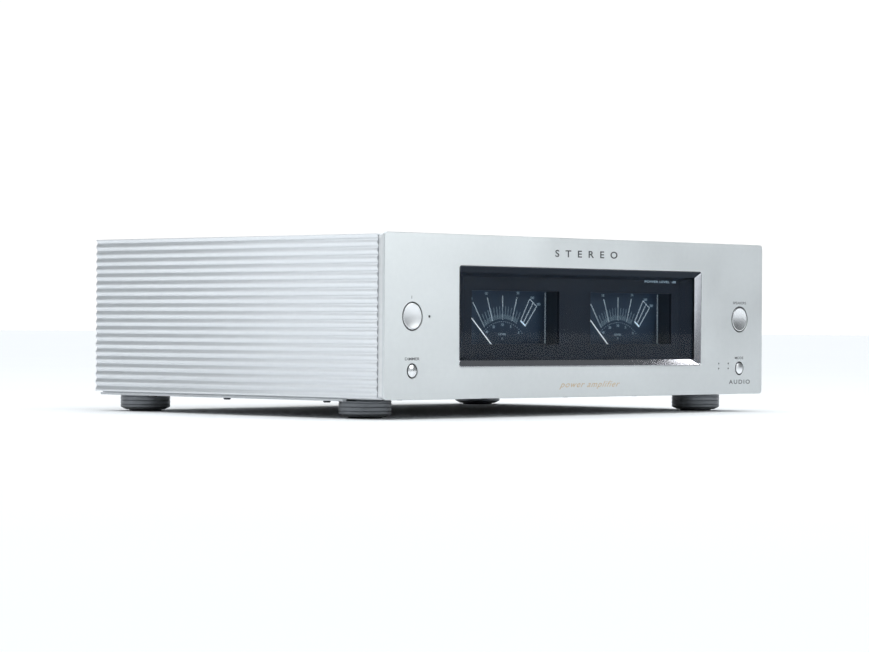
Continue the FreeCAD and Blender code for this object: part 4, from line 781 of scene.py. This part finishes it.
def makeSides(spec):
    outside, top, bottom = sideLow[0], sideHigh[2], sideLow[2]
    inner = outside + spec["wall"]
    ledgeInner = inner + spec["ledgeWidth"]
    shelf = top - spec["coverThick"]
    rest = [(outside, bottom), (inner, bottom), (inner, shelf - spec["ledgeThick"]),
            (ledgeInner, shelf - spec["ledgeThick"]), (ledgeInner, shelf), (inner, shelf), (inner, top)]
    points = bpy.data.meshes.new("outline")
    points.from_pydata([(x, z, 0) for x, z in rest], [], [])
    length = sideHigh[1] - sideLow[1]
    mesh = runTree(ribTree, {
        "Ribs": spec["ribs"], "Steps": spec["steps"], "Top": top,
        "Pitch": (top - bottom - spec["lip"]) / spec["ribs"], "Outside": outside, "Depth": spec["depth"],
        "Length": length, "Back": sideHigh[1], "Finish": materials["sideAnodised"]}, points)
    holder = bpy.data.objects.new("holder", mesh)
    bpy.context.collection.objects.link(holder)
    softer = holder.modifiers.new("edges", "BEVEL")
    softer.width = spec["edge"]
    softer.segments = 2
    softer.angle_limit = math.radians(50)
    left = plainMesh(holder)
    right = left.copy()
    right.transform(Matrix.Scale(-1, 4, (1, 0, 0)))
    right.flip_normals()
    for name, sideMesh in (("left", left), ("right", right)):
        cleanMesh(sideMesh)
        shadeByAngle(sideMesh, 40)
        showMesh(name + "_ribbed_side", sideMesh, "sideAnodised", "chassis",
                 [name + "_side_panel"])


makeSides(sideSpec)
print("sides made")


def paintShadeOnBezelSlope(bezel):
    # painted shade: the slope that looks down gets the black fascia finish in place of chrome, standing in for
    # the shade and dark reflection on it; the others stay bright
    bezel.data.materials.append(materials["fasciaBlack"])
    for face in bezel.data.polygons:
        if face.normal.z < -0.3 and face.center.y < glassHigh[1]:
            face.material_index = 1


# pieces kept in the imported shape, with welded corners and broken edges
softenedNodes = {
    "front_frame": ("back_frame", "frameAnodised", "frame_aluminium", 0.25, 2),
    "window_bezel": ("bezel", "bezelPolished", "bezel_chrome", 0.12, 2),
    "window_glass": ("glass", "windowGlass", "window_glass", 0.25, 2),
    "meter_fascia": ("fascia", "fasciaBlack", "fascia_black", 0.12, 2),
    "meter_lamp_board": ("lamp_strip", "boardGreen", "circuit_board", 0.1, 1),
    "left_meter_case": ("left_case", "caseDark", "case_black", 0.15, 1),
    "right_meter_case": ("right_case", "caseDark", "case_black", 0.15, 1),
    "left_meter_dial": ("left_dial", "dialDark", "dial_black", 0.1, 1),
    "right_meter_dial": ("right_dial", "dialDark", "dial_black", 0.1, 1),
    "left_meter_magnet": ("left_magnet", "steelPlain", "magnet_steel", 0.15, 1),
    "right_meter_magnet": ("right_magnet", "steelPlain", "magnet_steel", 0.15, 1),
    "front_switch_boards": ("switch_boards", "boardGreen", "circuit_board", 0.1, 1),
    "top_cover": ("cover", "coverSatin", "cover_silver", 0.2, 2),
    "base_tray": ("tray", "trayPainted", "tray_steel", 0.15, 1),
    "under_plate": ("bottom_plate", "trayPainted", "tray_steel", 0.2, 1),
    "transformer": ("winding", "windingFilm", "transformer_wrap", 0.2, 1),
    "transformer_clamp": ("winding_clamp", "steelPlain", "plated_steel", 0.3, 2),
    "left_heat_sink": ("left_sink", "sinkBlack", "sink_black", 0.2, 1),
    "right_heat_sink": ("right_sink", "sinkBlack", "sink_black", 0.2, 1),
    "left_amplifier_board": ("left_board", "boardGreen", "circuit_board", 0.15, 1),
    "right_amplifier_board": ("right_board", "boardGreen", "circuit_board", 0.15, 1),
    "output_transistors": ("transistors", "plasticBlack", "component_black", 0.3, 2),
    "power_supply_board": ("supply_board", "boardGreen", "circuit_board", 0.15, 1),
    "rear_panel": ("rear_plate", "rearPainted", "rear_black", 0.2, 2),
    "speaker_posts": ("post_studs", "goldPlate", "post_gold", 0.2, 2),
    "line_sockets": ("phono_sockets", "goldPlate", "post_gold", 0.2, 2),
    "balanced_sockets": ("three_pin_sockets", "nickelPlate", "socket_metal", 0.25, 2),
    "trigger_sockets": ("jack_sockets", "nickelPlate", "socket_metal", 0.2, 2),
    "input_board": ("input_circuit", "boardGreen", "circuit_board", 0.15, 1),
    "selector_switch": ("selector_case", "nickelPlate", "socket_metal", 0.15, 1),
    "selector_knob": ("selector_slider", "plasticBlack", "component_black", 0.15, 2),
    "power_inlet": ("mains_inlet", "plasticBlack", "component_black", 0.3, 2),
    "foot_screws": ("foot_bolts", "screwBlack", "screw_dark", 0.2, 2),
    "cover_screws": ("cover_bolts", "screwBlack", "screw_dark", 0.15, 2),
}
nodeBody = {}
for bodyName, members in frame["record"]["behaviour"]["bodies"].items():
    for member in members:
        nodeBody[member] = bodyName
for node, (name, material, slotName, edge, segments) in softenedNodes.items():
    showMesh(name, softCopy(node, edge * mm, segments), material, nodeBody[node], [node])
# painted shade on the bezel's lower-facing slope
paintShadeOnBezelSlope(bpy.data.objects["bezel"])
print("casing and inside made")

# buttons: spun caps, dished or domed, each with its collar and stem
capSpec = {"rings": 14, "flange": 7.05 * mm, "flangeThick": 1.2 * mm, "stem": 2.0 * mm}
collarSpec = {"gap": 0.3 * mm, "start": 0.4 * mm, "end": 7.0 * mm,
              "edgeAcross": 0.12 * mm, "edgeDeep": 0.15 * mm}


def capOutline(radius, crown, edge, lip, stemEnd):
    flange, stem = capSpec["flange"], capSpec["stem"]
    flangeBack = flange + capSpec["flangeThick"]
    points = []
    for ring in range(capSpec["rings"] + 1):
        share = ring / capSpec["rings"]
        points.append(((radius - edge) * share, -crown * (1 - share * share)))
    points += [(radius - edge * 0.3, edge * 0.25), (radius, edge), (radius, flange), (lip, flange)]
    points += [(lip, flangeBack), (stem, flangeBack), (stem, stemEnd), (0, stemEnd)]
    return points


def collarOutline(inner, outer):
    start, end = collarSpec["start"], collarSpec["end"]
    across, deep = collarSpec["edgeAcross"], collarSpec["edgeDeep"]
    return [(inner, start + deep), (inner + across, start), (outer - across, start), (outer, start + deep),
            (outer, end), (inner, end)]


for name, spec in buttonSpec.items():
    low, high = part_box(spec["node"])
    middle = boxMiddle(spec["node"])
    radius = capRadius[spec["big"]]
    lip = (high[0] - low[0]) / 2
    outline = capOutline(radius, spec["crown"], capEdge[spec["big"]], lip, high[1] - frontY)
    mesh = turnedMesh(outline, (middle.x, frontY, middle.z), (0, 1, 0), 128)
    showMesh(name + "_cap", mesh, "buttonSpun", spec["body"], [spec["node"]])

ringMeshes = []
for spec in buttonSpec.values():
    middle = boxMiddle(spec["node"])
    outline = collarOutline(capRadius[spec["big"]] + collarSpec["gap"], ringOuter[spec["big"]])
    ringMeshes.append(turnedMesh(outline, (middle.x, frontY, middle.z), (0, 1, 0), 128))
showMesh("button_collars", joinMeshes(ringMeshes), "trimBlack", "chassis", ["button_rings"])

lensMeshes = []
for x, z, radius in lensPlaces:
    outline = [(0, 0.05 * mm), (radius * 0.6, 0.09 * mm), (radius, 0.3 * mm), (radius, 20 * mm), (0, 20 * mm)]
    lensMeshes.append(turnedMesh(outline, (x, frontY, z), (0, 1, 0), 24))
showMesh("lamp_lenses", joinMeshes(lensMeshes), "trimBlack", "chassis", ["indicator_lenses"])
print("buttons made")

# needles: flat pointer narrowing to its tip, boss over the arbor and the coil behind
for side in ("left", "right"):
    node = side + "_meter_needle"
    pointer = softCopy(node, 0.06 * mm, 1)
    showMesh(side + "_pointer", pointer, "needlePaintAndPaintedGlow", nodeBody[node], [node])

# feet: turned metal with grooves, a soft pad under each
footSpec = {"radius": 19.3, "low": 1.1, "chamfer": 4.3, "chamferRise": 2.1, "top": 12.9, "boss": 13.2,
            "grooves": (5.2, 8.3, 11.3), "groove": 0.35, "bore": 2.1}


def footOutline(spec, bossTop):
    radius = spec["radius"]
    low = spec["low"]
    chamferTop = low + spec["chamferRise"]
    points = [(12.6, 2.1), (12.6, low + 0.2), (12.9, low), (radius - spec["chamfer"], low),
              (radius - 0.5, chamferTop - 0.3), (radius, chamferTop + 0.2)]
    for height in spec["grooves"]:
        points += [(radius, height - 0.4), (radius - 0.15, height - 0.3), (radius - 0.35, height - 0.12),
                   (radius - 0.35, height + 0.12), (radius - 0.15, height + 0.3), (radius, height + 0.4)]
    points += [(radius, spec["top"] - 0.5), (radius - 0.5, spec["top"]), (spec["boss"], spec["top"]),
               (spec["boss"], bossTop), (spec["bore"], bossTop), (spec["bore"], 2.1)]
    return [(r * mm, z * mm) for r, z in points]


for name in ("front_left", "front_right", "rear_left", "rear_right"):
    node = name + "_foot"
    middle = boxMiddle(node)
    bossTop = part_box(node)[1][2] / mm
    mesh = turnedMesh(footOutline(footSpec, bossTop), (middle.x, middle.y, 0), (0, 0, 1), 128)
    showMesh(name + "_turned_foot", mesh, "footTurned", nodeBody[node], [node])

padOutline = [(0, 0.0), (11.9, 0.0), (12.4, 0.25), (12.5, 0.6), (12.5, 2.1), (0, 2.1)]
padMeshes = []
for name in ("front_left", "front_right", "rear_left", "rear_right"):
    middle = boxMiddle(name + "_foot")
    outline = [(r * mm, z * mm) for r, z in padOutline]
    padMeshes.append(turnedMesh(outline, (middle.x, middle.y, 0), (0, 0, 1)))
showMesh("foot_cushions", joinMeshes(padMeshes), "footRubber", "chassis", ["foot_pads"])
print("feet made")

# pan-head screws with a hexagon socket, one sample copied to every place
screwSpec = {"head": 2.75, "rise": 1.6, "shank": 1.5, "hex": 1.1, "deep": 0.8}


def screwSample(spec, length):
    head, rise, shank, deep = spec["head"], spec["rise"], spec["shank"], spec["deep"]
    key = spec["hex"]
    outline = [(0, rise - deep), (key, rise - deep), (key, rise - 0.05), (key + 0.12, rise),
               (head - 0.7, rise), (head - 0.25, rise - 0.25), (head, rise - 0.8), (head, 0.0), (shank, 0.0)]
    step = -0.5
    while step > -length + 0.5:
        outline += [(shank - 0.16, step), (shank, step - 0.25)]
        step -= 0.5
    outline += [(shank - 0.3, -length), (0, -length)]
    mesh = turnedMesh([(r * mm, d * mm) for r, d in outline], (0, 0, 0), (0, 0, 1), 36)
    return mesh


def solidCentres(node):
    # middle and size of each separate solid of a node
    loose = bmesh.new()
    loose.from_mesh(frame["nodes"][node].data)
    bmesh.ops.remove_doubles(loose, verts=loose.verts, dist=weldGap)
    seen = set()
    found = []
    for first in loose.verts:
        if first in seen:
            continue
        seen.add(first)
        group, queue = [], [first]
        while queue:
            vert = queue.pop()
            group.append(vert.co.copy())
            for edge in vert.link_edges:
                other = edge.other_vert(vert)
                if other not in seen:
                    seen.add(other)
                    queue.append(other)
        low = Vector([min(co[i] for co in group) for i in range(3)])
        high = Vector([max(co[i] for co in group) for i in range(3)])
        found.append((low, high))
    loose.free()
    return found


def placeScrews(spec):
    # the head lies at the end of each solid that faces out of the casing
    places = {6.0: [], 4.0: []}
    for low, high in solidCentres("chassis_screws"):
        size = high - low
        middle = (low + high) / 2
        axis = max(range(3), key=lambda i: size[i])
        rise = spec["rise"] * mm
        if axis == 2:
            places[6.0].append(((middle.x, middle.y, low.z + rise), (math.pi, 0, 0), (1, 1, 1)))
        elif axis == 1:
            places[6.0].append(((middle.x, high.y - rise, middle.z), (-math.pi / 2, 0, 0), (1, 1, 1)))
        elif middle.x < 0:
            places[4.0].append(((high.x - rise, middle.y, middle.z), (0, math.pi / 2, 0), (1, 1, 1)))
        else:
            places[4.0].append(((low.x + rise, middle.y, middle.z), (0, -math.pi / 2, 0), (1, 1, 1)))
    meshes = [copiesOf(screwSample(spec, length), found, "screwBlack") for length, found in places.items()]
    showMesh("case_screws", shadeByAngle(joinMeshes(meshes)), "screwBlack", "chassis",
             ["chassis_screws"])


placeScrews(screwSpec)
print("screws made")

# capacitors: sleeved cans with a rolled edge and a scored top
canMeshes = []
for low, high in solidCentres("filter_capacitors"):
    radius = (high.x - low.x) / 2
    tall = high.z - low.z
    middle = (low + high) / 2
    outline = [(0, 0), (radius - 0.001, 0), (radius, 0.001), (radius, 0.004), (radius - 0.0012, 0.006),
               (radius, 0.008), (radius, tall - 0.0015), (radius - 0.0008, tall - 0.0003), (radius - 0.002, tall),
               (radius - 0.004, tall - 0.0008), (0, tall - 0.0008)]
    canMeshes.append(turnedMesh(outline, (middle.x, middle.y, low.z), (0, 0, 1), 64))
showMesh("capacitor_cans", joinMeshes(canMeshes), "canSleeve", "chassis",
         ["filter_capacitors"])

# binding posts: knurled caps with a coloured band, plain washers under them
postBands = {1: "inkRed", 2: "inkBlack", 3: "inkRed", 4: "inkBlack"}
for number, bandColour in postBands.items():
    ring = f"speaker_clamp_{number}"
    cap = f"speaker_cap_{number}"
    washer = softCopy(ring, 0.15 * mm, 2)
    showMesh(f"post_washer_{number}", washer, "goldPlate", nodeBody[ring], [ring])
    showMesh(f"post_grip_{number}", softCopy(cap, 0.2 * mm, 2), "goldPlate", nodeBody[cap], [cap])
    low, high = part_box(cap)
    middle = boxMiddle(cap)
    bandOutline = [(8.3, 0.5), (8.62, 0.6), (8.66, 0.9), (8.66, 1.8), (8.62, 2.1), (8.3, 2.2)]
    mesh = turnedMesh([(r * mm, d * mm) for r, d in bandOutline], (middle.x, low[1], middle.z), (0, 1, 0))
    showMesh(f"post_band_{number}", mesh, bandColour, nodeBody[cap])
print("rear made")

# printing on the front
frontMarks = {
    "maker_line": {"text": "STEREO", "x": 0.9, "z": 122.6, "width": 72.0, "height": 5.4, "ink": "inkDark",
                   "spacing": 2.3, "thicker": 0.02},
    "gold_line": {"text": "power amplifier", "x": 5.5, "z": 23.1, "width": 70.0, "height": 6.0, "ink": "inkGold",
                  "lean": 0.5, "spacing": 1.15, "thicker": 0.0},
    "dimmer_label": {"text": "DIMMER", "x": -188.7, "z": 43.6, "width": 15.0, "height": 2.0, "ink": "inkGrey"},
    "power_tick": {"text": "I", "x": -189.5, "z": 87.9, "width": 0.5, "height": 2.2, "ink": "inkGrey"},
    "speakers_label": {"text": "SPEAKERS", "x": 188.0, "z": 87.3, "width": 17.0, "height": 2.0, "ink": "inkGrey"},
    "mode_label": {"text": "MODE", "x": 187.9, "z": 43.2, "width": 11.0, "height": 2.0, "ink": "inkGrey"},
    "corner_word": {"text": "AUDIO", "x": 188.4, "z": 24.0, "width": 27.0, "height": 3.4, "ink": "inkGrey",
                    "spacing": 1.3},
}
for name, spec in frontMarks.items():
    mesh = textMesh(spec["text"], spec["x"] * mm, spec["z"] * mm, spec["width"] * mm, spec["height"] * mm,
                    frontY - inkGap, spec.get("lean", 0.0), False, spec.get("spacing", 1.0),
                    spec.get("thicker", 0.015))
    showMesh(name, mesh, spec["ink"], "chassis")
# the glass lettering glows: painted light
glassWords = textMesh("POWER LEVEL  dB", 92.5 * mm, 103.0 * mm, 38.0 * mm, 1.7 * mm, glassLow[1] - inkGap)
showMesh("glass_words", glassWords, "inkDimPaintedGlow", "chassis")

# dials: long lines, short lines, figures and a red-line box, fanned about a centre below the face
scaleSpec = {
    "centreZ": 38.0, "long": ((-34.6, 35, 57.4), (-18.4, 35, 53.7), (0, 34.5, 52.5), (17.3, 35, 54)),
    "short": {"first": -34.6, "last": 26.0, "count": 15, "inner": 35.0, "outer": 44.5, "width": 0.30},
    "fine": {"first": -34.6, "last": 26.0, "count": 43, "inner": 35.0, "outer": 38.5, "width": 0.20},
    "peak": {"first": 31.0, "last": 40.5, "count": 3, "inner": 39.5, "outer": 58.5, "width": 0.42},
    "dots": {"first": -38.0, "last": 42.0, "count": 21, "inner": 32.6, "outer": 33.2, "width": 0.6},
    "innerFigures": ((-34.6, "40"), (-18.4, "20"), (0, "10"), (17.3, "5"), (36.0, "0")),
    "outerFigures": ((-34.6, 60.5, "1"), (-18.4, 56.8, "10"), (17.3, 57.2, "50"), (33.0, 61.0, "100"),
                     (41.0, 61.5, "200")),
}


def scaleLine(centreX, y, angle, inner, outer, width):
    turn = math.radians(angle)
    along = Vector((math.sin(turn), 0, math.cos(turn)))
    across = Vector((math.cos(turn), 0, -math.sin(turn))) * width / 2
    centre = Vector((centreX, y, scaleSpec["centreZ"] * mm))
    corners = [centre + along * inner - across, centre + along * inner + across,
               centre + along * outer + across, centre + along * outer - across]
    mesh = bpy.data.meshes.new("line")
    mesh.from_pydata([tuple(corner) for corner in corners], [], [(0, 1, 2, 3)])
    return mesh


def paintedEdgeHighlight(x, y, low, high, width):
    # painted highlight: a thin glowing strip standing in for the lit right-hand edge of the meter opening
    mesh = bpy.data.meshes.new("line")
    half = width / 2
    mesh.from_pydata([(x - half, y, low), (x + half, y, low), (x + half, y, high), (x - half, y, high)], [],
                     [(0, 1, 2, 3)])
    return mesh


for side, sign in (("left", -1), ("right", 1)):
    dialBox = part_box(side + "_meter_dial")
    centreX = sign * 66.6 * mm
    y = dialBox[0][1] - 0.03 * mm
    bright = [scaleLine(centreX, y, angle, inner * mm, outer * mm, 0.42 * mm)
              for angle, inner, outer in scaleSpec["long"]]
    peakAngle = (scaleSpec["peak"]["first"] + scaleSpec["peak"]["last"]) / 2
    bright.append(scaleLine(centreX, y, peakAngle, 38.6 * mm, 39.8 * mm, 7.0 * mm))
    bright.append(scaleLine(centreX, y, peakAngle, 58.3 * mm, 58.7 * mm, 9.6 * mm))
    dim = []
    for label, target in (("short", dim), ("fine", dim), ("dots", dim), ("peak", bright)):
        spec = scaleSpec[label]
        target.append(runTree(fanTree, {
            "Inner Radius": spec["inner"] * mm, "Outer Radius": spec["outer"] * mm, "Width": spec["width"] * mm,
            "First Angle": math.radians(spec["first"]), "Last Angle": math.radians(spec["last"]),
            "Count": spec["count"], "Centre": (centreX, y, scaleSpec["centreZ"] * mm),
            "Finish": materials["inkDimPaintedGlow"]}))
    figures = [(angle, 30.6, text) for angle, text in scaleSpec["innerFigures"]]
    figures += scaleSpec["outerFigures"]
    for angle, reach, text in figures:
        turn = math.radians(angle)
        dim.append(textMesh(text, centreX + math.sin(turn) * reach * mm,
                            (scaleSpec["centreZ"] + math.cos(turn) * reach) * mm,
                            1.3 * len(text) * mm, 2.0 * mm, y))
    lineEnds = (dialBox[0][2] + 1.4 * mm, dialBox[1][2] - 1.6 * mm)
    # painted highlight at the right end of each dial
    bright.append(paintedEdgeHighlight(centreX + 47.9 * mm, y, *lineEnds, 0.5 * mm))
    dim.append(textMesh("LEVEL", centreX, 61.5 * mm, 8.5 * mm, 1.5 * mm, y))
    dim.append(textMesh("L" if sign < 0 else "R", centreX, 58.5 * mm, 1.4 * mm, 1.6 * mm, y))
    # both scale meshes glow: painted light standing in for the meter lamps
    showMesh(side + "_scale_bright", joinMeshes(bright), "inkWhitePaintedGlow", "chassis")
    showMesh(side + "_scale_dim", joinMeshes(dim), "inkDimPaintedGlow", "chassis")
print("printing made")

# labels on the rear
rearMarks = {
    "rear_speakers": {"text": "SPEAKERS  4 - 16 OHM", "x": 69.5, "z": 62.5, "width": 58.0, "height": 2.6},
    "rear_plus_1": {"text": "+", "x": 132.0, "z": 34.0, "width": 2.6, "height": 2.6},
    "rear_minus_1": {"text": "-", "x": 97.0, "z": 34.0, "width": 2.6, "height": 0.6},
    "rear_plus_2": {"text": "+", "x": 42.0, "z": 34.0, "width": 2.6, "height": 2.6},
    "rear_minus_2": {"text": "-", "x": 7.0, "z": 34.0, "width": 2.6, "height": 0.6},
    "rear_line": {"text": "LINE IN", "x": 17.0, "z": 109.0, "width": 15.0, "height": 2.4},
    "rear_balanced": {"text": "BALANCED IN", "x": 110.0, "z": 118.5, "width": 25.0, "height": 2.4},
    "rear_trigger": {"text": "TRIGGER 12V", "x": -39.0, "z": 109.0, "width": 22.0, "height": 2.4},
    "rear_select": {"text": "INPUT", "x": 60.0, "z": 109.0, "width": 11.0, "height": 2.4},
    "rear_mains": {"text": "AC IN", "x": -160.0, "z": 67.0, "width": 11.0, "height": 2.6},
}
rearMeshes = []
for spec in rearMarks.values():
    rearMeshes.append(textMesh(spec["text"], spec["x"] * mm, spec["z"] * mm, spec["width"] * mm,
                               spec["height"] * mm, rearHigh[1] + inkGap, rear=True))
# the white rear labels glow: painted light
showMesh("rear_printing", joinMeshes(rearMeshes), "inkWhitePaintedGlow", "chassis")
print("labels made")


# floor, light and surroundings
def makeStage():
    material = bpy.data.materials.new("studioFloor")
    material.use_nodes = True
    tree = material.node_tree
    shader = tree.nodes["Principled BSDF"]
    where = addNode(tree, "ShaderNodeTexCoord").outputs["Object"]
    cloud = addNode(tree, "ShaderNodeTexNoise", links={"Vector": where}, values={"Scale": 3.0, "Detail": 2.0})
    tone = addNode(tree, "ShaderNodeMapRange", links={"Value": cloud.outputs["Fac"]},
                   values={"To Min": 0.90, "To Max": 0.93})
    tree.links.new(tone.outputs["Result"], shader.inputs["Base Color"])
    shader.inputs["Roughness"].default_value = 0.7
    shader.inputs["Specular IOR Level"].default_value = 0.2
    mesh = bpy.data.meshes.new("floor")
    reach = 30.0
    mesh.from_pydata([(-reach, -reach, 0), (reach, -reach, 0), (reach, reach, 0), (-reach, reach, 0)], [],
                     [(0, 1, 2, 3)])
    floor = bpy.data.objects.new("floor", mesh)
    bpy.context.collection.objects.link(floor)
    mesh.materials.append(material)


def makeLight(name, place, aim, width, height, power, color):
    data = bpy.data.lights.new(name, "AREA")
    data.shape = "RECTANGLE"
    data.size = width
    data.size_y = height
    data.energy = power
    data.color = color
    light = bpy.data.objects.new(name, data)
    bpy.context.collection.objects.link(light)
    light.location = place
    light.rotation_mode = "QUATERNION"
    light.rotation_quaternion = (Vector(aim) - Vector(place)).to_track_quat("-Z", "Y")
    light.visible_camera = False


# surroundings: a big soft box overhead, soft walls before the front, beside the left and behind
skySpec = {
    "overhead": 2.05, "floorLevel": 0.13,
    "lobes": (
        {"toward": (0.25, -0.96, 0.12), "edge": 0.72, "strength": 0.13},
        {"toward": (-0.96, 0.25, 0.12), "edge": 0.66, "strength": 0.32},
        {"toward": (0.5, 0.85, 0.3), "edge": 0.3, "strength": 0.3},
    ),
}


def makeWorld():
    world = bpy.data.worlds.new("studio")
    bpy.context.scene.world = world
    world.use_nodes = True
    tree = world.node_tree
    tree.nodes.clear()
    seen = addNode(tree, "ShaderNodeBackground", values={"Color": (1, 1, 1, 1), "Strength": 1.05})
    where = addNode(tree, "ShaderNodeTexCoord").outputs["Generated"]
    parts = addNode(tree, "ShaderNodeSeparateXYZ", links={"Vector": where})
    overhead = addNode(tree, "ShaderNodeMapRange", {"interpolation_type": "SMOOTHSTEP"},
                       {"Value": parts.outputs["Z"]},
                       {"From Min": 0.66, "From Max": 0.82, "To Min": 0.0, "To Max": skySpec["overhead"]})
    total = mathNode(tree, "ADD", overhead.outputs["Result"], skySpec["floorLevel"])
    for lobe in skySpec["lobes"]:
        toward = addNode(tree, "ShaderNodeVectorMath", {"operation": "DOT_PRODUCT"}, {0: where},
                         {1: Vector(lobe["toward"]).normalized()})
        bright = addNode(tree, "ShaderNodeMapRange", {"interpolation_type": "SMOOTHSTEP"},
                         {"Value": toward.outputs["Value"]},
                         {"From Min": lobe["edge"], "From Max": 1.0, "To Min": 0.0, "To Max": lobe["strength"]})
        total = mathNode(tree, "ADD", total, bright.outputs["Result"])
    glow = addNode(tree, "ShaderNodeBackground", links={"Strength": total},
                   values={"Color": (0.93, 0.97, 1.0, 1)})
    path = addNode(tree, "ShaderNodeLightPath")
    mixed = addNode(tree, "ShaderNodeMixShader", links={0: path.outputs["Is Camera Ray"], 1: glow.outputs[0],
                                                        2: seen.outputs[0]})
    output = addNode(tree, "ShaderNodeOutputWorld", links={"Surface": mixed.outputs[0]})
    return output


makeStage()
makeWorld()
lights = {
    "frontSweep": {"place": (0.40, -0.95, 0.42), "aim": (-0.2, -0.17, 0.07), "width": 0.4, "height": 0.3,
                   "power": 1.75, "color": (0.97, 1.0, 0.99)},
    "sideSweep": {"place": (-0.98, 0.46, 0.42), "aim": (-0.22, -0.1, 0.07), "width": 0.4, "height": 0.3,
                  "power": 0.6, "color": (0.96, 0.98, 1.0)},
    "cornerLight": {"place": (0.562, -0.290, 0.362), "aim": (0.135, -0.168, 0.038),
                    "width": 0.035, "height": 0.05,
                    "power": 0.04, "color": (1.0, 1.0, 1.0)},
    "topLight": {"place": (0.0, 0.0, 1.9), "aim": (0.0, 0.0, 0.0), "width": 2.2, "height": 2.2, "power": 4,
                 "color": (0.95, 0.98, 1.0)},
}
for name, spec in lights.items():
    makeLight(name, **spec)
bpy.context.scene.view_settings.view_transform = "Standard"
print("stage made")
